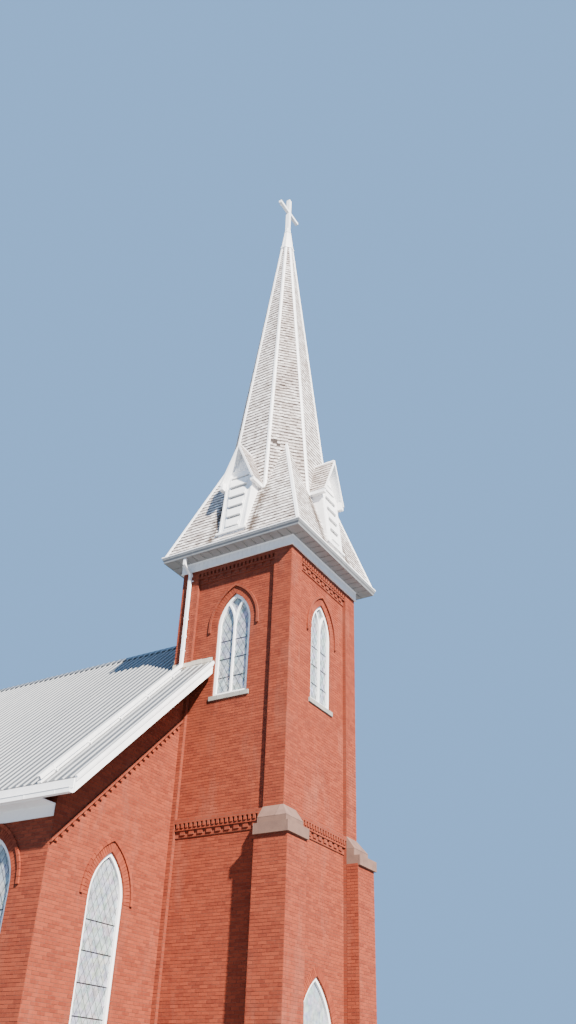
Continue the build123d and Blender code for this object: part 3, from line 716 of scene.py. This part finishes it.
def ring_moulding(sides, half, profile):
    # A moulding round a regular plan, mitred at its corners. Its profile holds reach past half, and height.
    points, faces = [], []
    for corner in range(sides):
        angle = (corner + 0.5) * 2 * math.pi / sides
        for reach, z in profile:
            radius = (half + reach) / math.cos(math.pi / sides)
            points.append((radius * math.cos(angle), radius * math.sin(angle), z))
    count = len(profile)
    for corner in range(sides):
        here, there = corner * count, (corner + 1) % sides * count
        for step in range(count):
            after = (step + 1) % count
            faces.append((here + step, there + step, there + after, here + after))
    return points, faces


def straight_moulding(start, end, out, rise, profile):
    # A moulding from start to end, seen from outside with the start on the left.
    count = len(profile)
    points = [foot + out * reach + rise * height for foot in (start, end) for reach, height in profile]
    faces = [(step, count + step, count + (step + 1) % count, (step + 1) % count) for step in range(count)]
    faces += [tuple(reversed(range(count))), tuple(range(count, 2 * count))]
    return points, faces


# Brickwork

def strip_gap(x0, x1, z0, z1):
    return lambda z: (x0, x1) if z0 < z < z1 else None


def arch_gap(centre, window):
    # The part of a course that an arched opening and its ring of bricks take.
    def gap(z):
        if z < window.sill:
            return None
        if z < window.spring:
            return centre - window.half, centre + window.half
        reach = (2 * window.half + voussoir_length) ** 2 - (z - window.spring) ** 2
        if reach <= window.half ** 2:
            return None
        reach = math.sqrt(reach) - window.half
        return centre - reach, centre + reach

    return gap


def window_gaps(centre, window):
    reach = window.half + 0.09
    sill = strip_gap(centre - reach, centre + reach, window.sill - 0.12, window.sill)
    return [arch_gap(centre, window), sill]


def roof_gap(z):
    # What the nave roof and its flashing cover of the tower's back.
    covered = ridge + 0.15 - z
    return (-covered, covered) if covered > 0 else None


def course_runs(x0, x1, z, gaps):
    runs = [(x0, x1)]
    for gap in gaps:
        cut = gap(z)
        if cut is None:
            continue
        kept = []
        for start, end in runs:
            kept += [(start, min(end, cut[0])), (max(start, cut[1]), end)]
        runs = [(start, end) for start, end in kept if end - start > least_run]
    return runs


def bricks_on(place, ends, z0, z1, gaps=()):
    # Running bond on a wall. Its left and right ends may be a function of the height.
    row = round(z0 / course)
    while row * course < z1 - course_slack:
        z = (row + 0.5) * course
        x0, x1 = ends(z) if callable(ends) else ends
        offset = 0.5 * brick_length if row % 2 == 0 else 0.0
        for left, right in course_runs(x0, x1, z, gaps):
            number = math.floor((left + offset) / brick_length)
            while number * brick_length - offset < right - course_slack:
                low = max(left, number * brick_length - offset)
                high = min(right, (number + 1) * brick_length - offset)
                if high - low > least_brick:
                    yield mark(place, (low + high) / 2, z, high - low - mortar_joint, course - mortar_joint,
                               brick_relief)
                number += 1
        row += 1


def tower_bricks():
    panel = (-panel_half, panel_half)
    for face, side_of_front in (("front", 0), ("left", 1), ("right", -1)):
        flat, sunk = wall_frame(face, tower_half), wall_frame(face, panel_face)
        door = [arch_gap(0, entrance)] if face == "front" else []
        gaps = [*window_gaps(0, tower_window), strip_gap(-tower_half, tower_half, *middle_table), *door]
        yield from bricks_on(sunk, panel, panel_foot, table_foot, gaps)
        yield from bricks_on(flat, panel, plinth_top, panel_foot, door)
        for side in (-1, 1):
            foot = buttress_cap_top if face == "front" or side == side_of_front else plinth_top
            yield from bricks_on(flat, side_span(side, panel_half, tower_half), foot, tower_top)


def tower_back_bricks():
    sunk, flat = wall_frame("back", panel_face), wall_frame("back", tower_half)
    yield from bricks_on(sunk, (-panel_half, panel_half), back_panel_foot, table_foot, [roof_gap])
    for side in (-1, 1):
        ends = side_span(side, panel_half, tower_half)
        yield from bricks_on(flat, ends, back_side_foot, tower_top, [roof_gap])


def buttress_bricks():
    # The three outer faces of each buttress and the two that return to the tower.
    for face, sides in (("front", (-1, 1)), ("left", (1,)), ("right", (-1,))):
        place = wall_frame(face, buttress_face)
        for side in sides:
            yield from bricks_on(place, side_span(side, panel_half, buttress_face), 0.0, buttress_top)
    for side, inward in ((-1, "right"), (1, "left")):
        for face, turned in ((inward, side), ("back", -side)):
            place = wall_frame(face, -panel_half)
            yield from bricks_on(place, side_span(turned, buttress_face, tower_half), 0.0, buttress_top)


def bay_centres(sign):
    return [sign * (gable_front + bay * (number + 0.5)) for number in range(bays)]


def nave_side_bricks():
    for face, sign in long_sides:
        gaps = [gap for centre in bay_centres(sign) for gap in window_gaps(centre, nave_window)]
        ends = side_span(sign, gable_front, gable_back)
        yield from bricks_on(wall_frame(face, nave_half), ends, plinth_top, side_brick_top, gaps)


def rake(drop):
    # How far a wall under the roof reaches from the middle, at a height, below a line this far down.
    return lambda z: min(nave_half, drop - z)


def nave_gable_bricks():
    # The front walls, flush up to the raking string and proud of the wall above it, then the back wall.
    flush = (0.0, plinth_top, 10.4, rake(0.0), rake(string_drop + 0.01))
    proud = (0.0275, 6.4, 11.7, rake(string_drop + 0.11), rake(ridge - wall_drop - 0.02))
    for side in (-1, 1):
        gaps = window_gaps(side * gable_window_place, nave_window)
        for distance, foot, top, inner, outer in (flush, proud):
            def ends(z):
                return side_span(side, max(tower_half, inner(z)), outer(z))

            yield from bricks_on(gable_frame(distance), ends, foot, top, gaps)
    half = rake(ridge - wall_drop)
    yield from bricks_on(wall_frame("back", gable_back), lambda z: (-half(z), half(z)), plinth_top, 13.6)


def rake_corbels(count=26, pitch=0.15):
    # Bricks on end under the raking string.
    for side in (-1, 1):
        for number in range(count):
            x = tower_half + 0.14 + number * pitch
            yield mark(gable_frame(), side * x, string_drop - x - 0.03, 0.072, 0.15, 0.055)


def tower_windows():
    for face in ("front", "left", "right"):
        yield wall_frame(face, panel_face), 0, tower_window


def nave_windows():
    for face, sign in long_sides:
        for centre in bay_centres(sign):
            yield wall_frame(face, nave_half), centre, nave_window
    for side in (-1, 1):
        yield gable_frame(), side * gable_window_place, nave_window


def arch_ring(opening, inner, outer, relief, pitch=course):
    # Bricks round a pointed arch, from the spring up to the apex on both sides.
    place, centre, window = opening
    radius = 2 * window.half + (inner + outer) / 2
    sweep = math.acos(window.half / radius)
    count = max(int(radius * sweep / pitch), 3)
    for side in (-1, 1):
        for step in range(count):
            angle = (step + 0.5) * sweep / count
            x = centre + side * (radius * math.cos(angle) - window.half)
            z = window.spring + radius * math.sin(angle)
            lean = angle if side > 0 else math.pi - angle
            yield mark(place, x, z, outer - inner, radius * sweep / count - 0.009, relief, lean)


def window_rings(windows, hood_relief):
    # The flat ring of bricks and the proud hood round each window's arch.
    for opening in windows:
        yield from arch_ring(opening, 0.004, voussoir_length - 0.006, 0.012)
        yield from arch_ring(opening, voussoir_length, hood_reach, hood_relief, hood_pitch)


def arch_bricks():
    yield from window_rings(tower_windows(), 0.054)
    yield from arch_ring((wall_frame("front", panel_face), 0, entrance), 0.004, voussoir_length, 0.012)
    yield from window_rings(nave_windows(), 0.05)


# Windows

def inside_arch(x, z, window):
    if abs(x) > window.half or z < window.sill:
        return False
    return z <= window.spring or math.hypot(abs(x) + window.half, z - window.spring) <= 2 * window.half


def came(place, centre, window, foot, direction):
    # One lead strip across the glass, from edge to edge of the opening.
    steps = [step * 0.02 for step in range(400)]
    line = [(foot + direction[0] * step, window.sill + direction[1] * step) for step in steps]
    inside = [spot for spot in line if inside_arch(*spot, window)]
    if len(inside) < 4:
        return
    (x0, z0), (x1, z1) = inside[0], inside[-1]
    lean = math.atan2(direction[1], direction[0]) - math.pi / 2
    length = math.hypot(x1 - x0, z1 - z0)
    yield mark(place, centre + (x0 + x1) / 2, (z0 + z1) / 2, 0.009, length, 0.005, lean)


def window_leads(pitch=0.19):
    # Lead strips both ways across each window, in diamonds.
    sideways, upward = 0.5, math.sqrt(0.75)
    for place, centre, window in [*tower_windows(), *nave_windows()]:
        tall = window.spring + 2 * window.half - window.sill
        for number in range(int((2 * window.half + tall * sideways / upward) / pitch)):
            x = window.half - number * pitch
            yield from came(place @ glass_face, centre, window, x, (sideways, upward))
            yield from came(place @ glass_face, centre, window, -x, (-sideways, upward))


def saddle_bars():
    # Iron bars across each light, which the leads are tied to.
    for windows, count, pitch in ((nave_windows(), 5, 0.62), (tower_windows(), 3, 0.55)):
        for place, centre, window in windows:
            for number in range(1, count + 1):
                z = window.sill + number * pitch
                yield mark(place @ glass_face, centre, z, 2 * window.half, 0.014, 0.012)


# Entrance

def door_front():
    # The face of the leaves, the width of one, and their foot and top.
    low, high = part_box("front_door_leaves")
    return wall_frame("front", -low[1]), (high[0] - low[0]) / 2, low[2], high[2]


def door_ironwork():
    # On each leaf three studded strap hinges, a handle with its plate, and a kicking plate.
    place, half, foot, top = door_front()
    for side in (-1, 1):
        for z in (foot + 0.35, (foot + top) / 2 + 0.1, top - 0.3):
            yield mark(place, side * (half - 0.28), z, 0.5, 0.045, 0.008)
            yield mark(place, side * (half - 0.55), z, 0.06, 0.06, 0.008, math.pi / 4)
            for stud in range(5):
                yield mark(place, side * (half - 0.08 - 0.11 * stud), z, 0.016, 0.016, 0.014)
        yield mark(place, side * 0.09, foot + 1.05, 0.06, 0.22, 0.008)
        yield mark(place, side * 0.09, foot + 1.0, 0.022, 0.13, 0.045)
        yield mark(place, side * half / 2, foot + 0.13, half - 0.12, 0.18, 0.004)


def door_boards(count=6):
    # Upright boards on each leaf.
    place, half, foot, top = door_front()
    width = (half - 0.03) / count
    for side in (-1, 1):
        for number in range(count):
            x = 0.015 + (number + 0.5) * width
            yield mark(place, side * x, (foot + top) / 2, width - 0.008, top - foot - 0.03, 0.004)


# Spire cladding

def spire_sides():
    # The spire's eight faces by number, with the way each looks.
    for number in range(8):
        angle = math.radians(45 * number)
        yield number, Vector((math.cos(angle), math.sin(angle), 0))


def pyramid_face(out, foot, apex, lean):
    # The frame at a height on a pyramid's face, and the slope's length in each metre of rise.
    rise = up - out * lean
    return face_frame(up.cross(out), rise, out * ((apex - foot) * lean) + up * foot), rise.length


def pyramid_slope(out, foot, top, apex, lean, half_factor, **sizes):
    # A face of a pyramid from one height to another. lean is the run in each metre of rise.
    place, length = pyramid_face(out, foot, apex, lean)
    low, high = ((apex - z) * lean * half_factor for z in (foot, top))
    return slope(place, (-low, low, -high, high), (top - foot) * length, **sizes)


def spire_shingles():
    torn = {"missing_across": -0.36, "missing_up": 2.1225, "missing_reach": 0.10, "unevenness": 2.0,
            "gap": 0.006}
    for number, out in spire_sides():
        sizes = shingle_sizes(number + 1, **(torn if number == torn_face else {}))
        yield pyramid_slope(out, shell_foot, cap_foot, spire_apex, spire_lean, octagon_factor, **sizes)


def skirt_shingles(rows=30):
    foot = roof_base - 0.02
    lean = 1 / skirt_slope
    exposure = (skirt_top - foot) * math.hypot(1, lean) / rows + 0.0001
    for number, out in enumerate(outward.values()):
        sizes = shingle_sizes(number + 20, exposure=exposure)
        yield pyramid_slope(out, foot, skirt_top, skirt_apex, lean, 1.0, **sizes)


def hip_strip_laps():
    # Lapped boards over the spire's arrises, one on each side of every arris.
    for number, out in spire_sides():
        foot = 17.7 if number % 2 == 0 else 19.7
        place, length = pyramid_face(out, foot, spire_apex, spire_lean)
        low, high = ((spire_apex - z) * spire_lean * octagon_factor + 0.013 for z in (foot, cap_foot))
        sizes = board_sizes(1.45, 0.034, 0.004, head=0.0295, piece_width=4.0)
        for side in (-1, 1):
            edges = side_span(side, low, low - hip_strip_half) + side_span(side, high, high - hip_strip_half)
            yield slope(place, edges, (cap_foot - foot) * length, **sizes)


def cap_collars():
    low = (spire_apex - cap_foot) * spire_lean + 0.032
    foot = [(-0.01, -0.03), (0.022, -0.03), (0.026, 0.03), (0.012, 0.06), (-0.01, 0.07)]
    head = [(-0.03, -0.05), (0.012, -0.04), (0.026, -0.01), (0.012, 0.025), (-0.045, 0.03)]
    for half, level, profile in ((low, cap_foot, foot), (0.12, cap_top, head)):
        yield ring_moulding(8, half, [(reach, level + z) for reach, z in profile])


# Dormers

def dormer_slopes():
    # Both roof slopes of each dormer, from the eave up: number, side, frame and length.
    for number, (out, across) in enumerate(four_sides):
        for side in (-1, 1):
            eave = across * side * dormer_eave_half
            rise = up * (dormer_peak - dormer_eave) - eave
            yield number, side, face_frame(out * -side, rise, eave + up * dormer_eave), rise.length


def dormer_shingles(rows=11):
    for number, side, place, length in dormer_slopes():
        ends = side_span(-side, 1.45, dormer_edge)
        sizes = shingle_sizes(number + 30 + side, exposure=length / rows, butt=0.014, head=0.004)
        yield slope(place, ends + ends, length - 0.002, **sizes)


def dormer_ridges():
    # A folded strip over each dormer's ridge.
    for number, side, place, length in dormer_slopes():
        middle = -side * (1.47 + dormer_edge) / 2
        yield mark(place, middle, length - 0.03, dormer_edge - 1.47, 0.075, 0.019)


def dormer_trim():
    # Casing round each louvred opening, boards over and under it, a gable moulding and a foot board.
    height = louvre_head - louvre_foot
    low, high = louvre_foot - dormer_foot, louvre_head - dormer_foot
    middle = (low + high) / 2
    lean = math.atan2(0.105, height)
    for out in outward.values():
        place = dormer_frame(out)
        for side in (-1, 1):
            yield mark(place, side * 0.292, middle, 0.045, height + 0.06, 0.018, -side * lean)
            yield mark(place, side * 0.452, middle - 0.04, 0.05, height + 0.1, 0.014, -side * 0.021)
        yield mark(place, 0, high + 0.035, 0.70, 0.055, 0.03)
        yield mark(place, 0, low - 0.03, 0.52, 0.045, 0.03)
        yield mark(place, 0, gable_moulding - dormer_foot, 0.60, 0.04, 0.025)
        yield mark(place, 0, 0.035, 1.06, 0.07, 0.05)


def louvre_boards(count=5):
    # Broad sloping boards over the slats, with a dark gap under each.
    pitch = (louvre_head - louvre_foot) / count
    for out in outward.values():
        place = dormer_frame(out) @ Matrix.Translation((0, louvre_foot - dormer_foot, -0.012))
        sizes = board_sizes(pitch, 0.072, 0.07, head=0.016)
        yield slope(place, (-0.215, 0.215, -0.32, 0.32), count * pitch - 0.01, **sizes)


def gable_boards():
    # Upright boards in the dormers' gables, between the moulding and the rake boards.
    foot = gable_moulding + 0.025 - dormer_foot
    for out in outward.values():
        for number in range(-2, 3):
            x = number * 0.1
            top = dormer_peak - 0.24 - abs(x) * 2.33 - dormer_foot
            if top - foot > 0.05:
                yield mark(dormer_frame(out), x, (foot + top) / 2, 0.09, top - foot, 0.012)


# Tower eaves

def frieze_boards(count=25):
    # Upright boards between the brickwork and the soffit.
    sizes = board_sizes(2 * frieze_reach / count, 0.012, 0.014)
    for out, across in four_sides:
        place = face_frame(-up, across, out * frieze_face - across * frieze_reach)
        yield slope(place, (-frieze_top, -frieze_foot) * 2, 2 * frieze_reach, **sizes)


def frieze_mouldings():
    low = [(0, 15.112), (0.026, 15.112), (0.026, 15.135), (0.014, 15.15), (0, 15.15)]
    high = [(0, 15.378), (0.014, 15.378), (0.02, 15.39), (0.034, 15.405), (0.034, 15.418), (0, 15.418)]
    return [ring_moulding(4, frieze_face, profile) for profile in (low, high)]


def frieze_corners():
    for face in outward:
        for side in (-1, 1):
            yield mark(wall_frame(face, frieze_face), side * 1.894, 15.27, 0.105, 0.28, 0.017)


def soffit_panels(width=0.305):
    # Panels across the soffit, mitred at the corners.
    edge, wall = gutter_face, frieze_reach
    for out, across in four_sides:
        for start, end, first, last in ((-edge, -wall, edge, wall), (-wall, wall, wall, wall),
                                        (wall, edge, wall, edge)):
            place = face_frame(-out, across, across * start + up * soffit_level)
            count = max(round((end - start) / width), 1)
            sizes = board_sizes((end - start) / count, 0.012, 0.022)
            yield slope(place, (-edge, -first, -edge, -last), end - start, **sizes)


gutter_profile = [
    (0.0, 15.410), (0.012, 15.410), (0.018, 15.43), (0.020, 15.462), (0.032, 15.485), (0.050, 15.51),
    (0.056, 15.535), (0.056, 15.578), (0.068, 15.584), (0.068, 15.606), (0.058, 15.606), (0.046, 15.59),
    (0.046, 15.54), (0.0, 15.53),
]
gutter_lip = [
    (0.052, 15.570), (0.073, 15.578), (0.077, 15.592), (0.073, 15.612), (0.055, 15.616), (0.045, 15.600),
]


def gutter_joint_covers(width=0.04):
    cover = [(reach + 0.004, z) for reach, z in gutter_profile]
    for out, across in four_sides:
        for x in (-1.3, 0.15, 1.45):
            start = out * gutter_face + across * (x - width / 2)
            yield straight_moulding(start, start + across * width, out, up, cover)


def spout_straps():
    # Straps and collars on the wall, then straps with feet down the roof.
    wall, roof = wall_frame("left", tower_half), roof_frame(-1)
    yield mark(wall, -spout_y, 14.82, 0.17, 0.035, 0.006)
    for z in (14.82, 13.55, 12.55):
        yield mark(wall, -spout_y, z, 0.092, 0.035, 0.110)
    for z in (15.0, 13.0):
        yield mark(wall, -spout_y, z, 0.088, 0.06, 0.108)
    for distance in (3.3, 4.6, 5.9, 7.2, 8.5):
        yield mark(roof, -spout_y, -distance, 0.092, 0.035, 0.152)
        yield mark(roof, -spout_y, -distance, 0.20, 0.04, 0.046)


def leader_strip():
    # The flat white sheet that carries the spout down the roof.
    start, end = 2.0 * root_two, eave_reach * root_two
    yield mark(roof_frame(-1), -spout_y, -(start + end) / 2, 0.10, end - start, 0.034)


# Nave roof

def verge_soffit_boards(width=0.13):
    # Brown boards under the roof's overhang at both gables.
    for side in (-1, 1):
        down, along = Vector((side, 0, -1)), Vector((0, -side, 0))
        for start, end in ((verge_front, gable_front), (gable_back, verge_back)):
            origin = Vector((0, start if side < 0 else end, ridge - wall_drop))
            length = end - start
            sizes = board_sizes(length / round(length / width), 0.012, 0.008)
            yield slope(face_frame(down, along, origin), (0.1, eave_reach * root_two) * 2, length, **sizes)


def roof_screws(rows=12, pitch=0.76):
    # In the middle of each pan, clear of the tower.
    clear = tower_half + 0.1
    for side in (-1, 1):
        place = roof_frame(side)
        for rib in range(rib_count):
            y = first_rib + (rib + 0.5) * rib_pitch
            for row in range(rows):
                distance = 0.36 + row * pitch
                if y > clear or distance > clear * root_two:
                    yield mark(place, side * y, -distance, 0.018, 0.018, 0.008)


def ridge_closures():
    # Fills the gaps between the ribs under the ridge cap, and the cap's own laps.
    length = verge_back - tower_half - 0.01
    middle = (verge_back + tower_half) / 2
    for side in (-1, 1):
        place = roof_frame(side)
        yield mark(place, side * middle, -0.206, length, 0.026, rib_height)
        for number in range(6):
            yield mark(place, side * (3.4 + 2.6 * number), -0.118, 0.06, 0.215, rib_height + 0.019)


def verge_flashings():
    # Folded metal over the upper edge of each bargeboard.
    profile = [(-0.03, 0.027), (0.004, 0.027), (0.004, -0.03), (0.010, -0.034), (0.010, 0.032),
               (-0.03, 0.032)]
    for side in (-1, 1):
        rise, down = Vector((side, 0, 1)).normalized(), Vector((side, 0, -1))
        for y, face, inner in ((verge_front - 0.06, "front", tower_half), (verge_back + 0.06, "back", 0.02)):
            out = outward[face]
            start, end = (Vector((0, y, ridge)) + down * reach for reach in (inner, eave_reach))
            if rise.cross(out).dot(end - start) < 0:
                start, end = end, start
            yield straight_moulding(start, end, out, rise, profile)


def stepped_flashing(steps=13, step=0.15):
    # Cream sheet, level along the tower's sides and stepped up its back.
    top = ridge - tower_half + 0.0368
    for face, sign in long_sides:
        place = wall_frame(face, tower_half + 0.005)
        for number in range(4):
            lap = number % 2
            x = sign * (0.77 + number * 0.33)
            yield mark(place, x, top + 0.065 + 0.012 * lap, 0.35, 0.13, 0.007 + 0.002 * lap)
    back = wall_frame("back", tower_half + 0.005)
    for side in (-1, 1):
        for number in range(steps):
            x = tower_half - step / 2 - number * step
            yield mark(back, side * x, ridge - x + 0.13, 0.16, 0.25, 0.006 + 0.002 * (number % 2))


def nave_gutter_lips():
    # Rolled lips of the nave's gutters.
    lip = [(-0.004, -0.012), (0.008, -0.012), (0.013, -0.004), (0.010, 0.006), (-0.004, 0.008)]
    for face, sign in long_sides:
        out = outward[face]
        across = up.cross(out)
        foot = out * gutter_reach + up * gutter_lip_level
        start, end = (foot + across * y for y in side_span(sign, verge_front, verge_back))
        yield straight_moulding(start, end, out, up, lip)


def nave_gutter_brackets(count=19, pitch=0.9):
    # Brackets on the nave's gutters, and the board behind each gutter.
    middle, length = (verge_front + verge_back) / 2, verge_back - verge_front
    for face, sign in long_sides:
        place = wall_frame(face, gutter_reach)
        for number in range(count):
            yield mark(place, sign * (1.0 + number * pitch), 7.222, 0.028, 0.112, 0.005)
        yield mark(wall_frame(face, eave_reach), sign * middle, 7.378, length, 0.20, 0.018)


# Frame, light and camera

def finish_cad_nodes():
    slots = {item["node"]: item["material_slot"] for item in frame["record"]["subparts"]}
    for name, node in frame["nodes"].items():
        node.data.materials.clear()
        node.data.materials.append(finishes[cad_finishes.get(name, slots[name])])


def pale_floor():
    floor = bpy.data.meshes.new("floor")
    floor.from_pydata([(-90, -80, 0), (90, -80, 0), (90, 100, 0), (-90, 100, 0)], [], [(0, 1, 2, 3)])
    pale = Finish("pale_floor", 0.9)
    pale.plug(pale.shader["Base Color"], (0.171, 0.175, 0.179))
    floor.materials.append(pale.material)
    ground = bpy.data.objects.new("floor", floor)
    bpy.context.scene.collection.objects.link(ground)
    ground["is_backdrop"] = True


def sun_and_sky():
    sun = bpy.data.lights.new("sun", "SUN")
    sun.energy = 21.0
    sun.angle = math.radians(1.5)
    sun.color = (1.0, 0.92, 0.82)
    lamp = bpy.data.objects.new("sun", sun)
    towards_sun = Vector((-0.359, -0.700, 0.617))
    lamp.rotation_euler = towards_sun.to_track_quat("Z", "Y").to_euler()
    bpy.context.scene.collection.objects.link(lamp)
    world = bpy.data.worlds.new("studio")
    world.use_nodes = True
    sky = world.node_tree.nodes["Background"].inputs
    sky["Color"].default_value = (0.30, 0.56, 1.0, 1.0)
    sky["Strength"].default_value = 1.0
    bpy.context.scene.world = world


def photo_camera():
    camera = bpy.data.cameras.new("camera")
    camera.lens = 31.51
    camera.sensor_width = 36.0
    camera.clip_end = 2000
    yaw, pitch, roll = (math.radians(value) for value in (57.93, 34.106, 2.162))
    forward = Vector((math.sin(yaw) * math.cos(pitch), math.cos(yaw) * math.cos(pitch), math.sin(pitch)))
    level = Vector((math.cos(yaw), -math.sin(yaw), 0))
    upright = level.cross(forward)
    right = math.cos(roll) * level + math.sin(roll) * upright
    top = -math.sin(roll) * level + math.cos(roll) * upright
    viewer = bpy.data.objects.new("camera", camera)
    turn = Matrix((right, top, -forward)).transposed().to_4x4()
    viewer.matrix_world = Matrix.Translation((-20.27, -13.23, 1.6)) @ turn
    bpy.context.scene.collection.objects.link(viewer)
    bpy.context.scene.camera = viewer


def main():
    finish_cad_nodes()
    laid("tower_bricks", [*tower_bricks(), *tower_back_bricks(), *buttress_bricks()], "laid_brick", 0.5, 1)
    laid("nave_side_bricks", nave_side_bricks(), "laid_brick", 0.5, 2)
    laid("nave_gable_bricks", nave_gable_bricks(), "laid_brick", 0.5, 3)
    laid("arch_bricks", arch_bricks(), "laid_brick", 0.2, 4)
    laid("rake_corbels", rake_corbels(), "laid_brick", 0.1, 5)
    laid("window_leads", window_leads(), "lead")
    laid("saddle_bars", saddle_bars(), "iron")
    laid("door_boards", door_boards(), "door_wood", 0.3, 6)
    laid("door_ironwork", door_ironwork(), "iron")
    coursed("spire_shingles", spire_shingles(), "shingle")
    coursed("skirt_shingles", skirt_shingles(), "shingle")
    coursed("dormer_shingles", dormer_shingles(), "brown_shingle")
    coursed("hip_strip_laps", hip_strip_laps(), "white_wood")
    built("cap_collars", cap_collars(), "white_metal")
    laid("dormer_trim", dormer_trim(), "white_wood")
    coursed("louvre_boards", louvre_boards(), "white_wood")
    laid("gable_boards", gable_boards(), "white_wood")
    laid("dormer_ridges", dormer_ridges(), "white_metal")
    coursed("frieze_boards", frieze_boards(), "white_wood")
    built("frieze_mouldings", frieze_mouldings(), "white_wood")
    laid("frieze_corners", frieze_corners(), "white_wood")
    # Soffit panels in painted shade grey.
    coursed("soffit_panels", soffit_panels(), "soffit_paint")
    # The gutter's body and joint covers grey under a white lip: painted shade.
    built("gutter_mouldings", [ring_moulding(4, gutter_face, gutter_profile)], "grey_metal")
    built("gutter_lips", [ring_moulding(4, gutter_face, gutter_lip)], "white_metal")
    built("gutter_joint_covers", gutter_joint_covers(), "grey_metal")
    laid("spout_straps", spout_straps(), "white_metal")
    laid("leader_strip", leader_strip(), "white_metal")
    coursed("verge_soffit_boards", verge_soffit_boards(), "roof_deck")
    laid("roof_screws", roof_screws(), "grey_metal")
    laid("ridge_closures", ridge_closures(), "roof_metal")
    built("verge_flashings", verge_flashings(), "white_metal")
    laid("stepped_flashing", stepped_flashing(), "flashing")
    built("nave_gutter_lips", nave_gutter_lips(), "white_metal")
    laid("nave_gutter_brackets", nave_gutter_brackets(), "white_metal")
    pale_floor()
    sun_and_sky()
    photo_camera()


main()
[[list(corner) for corner in box] for box in (cad_box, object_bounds())]
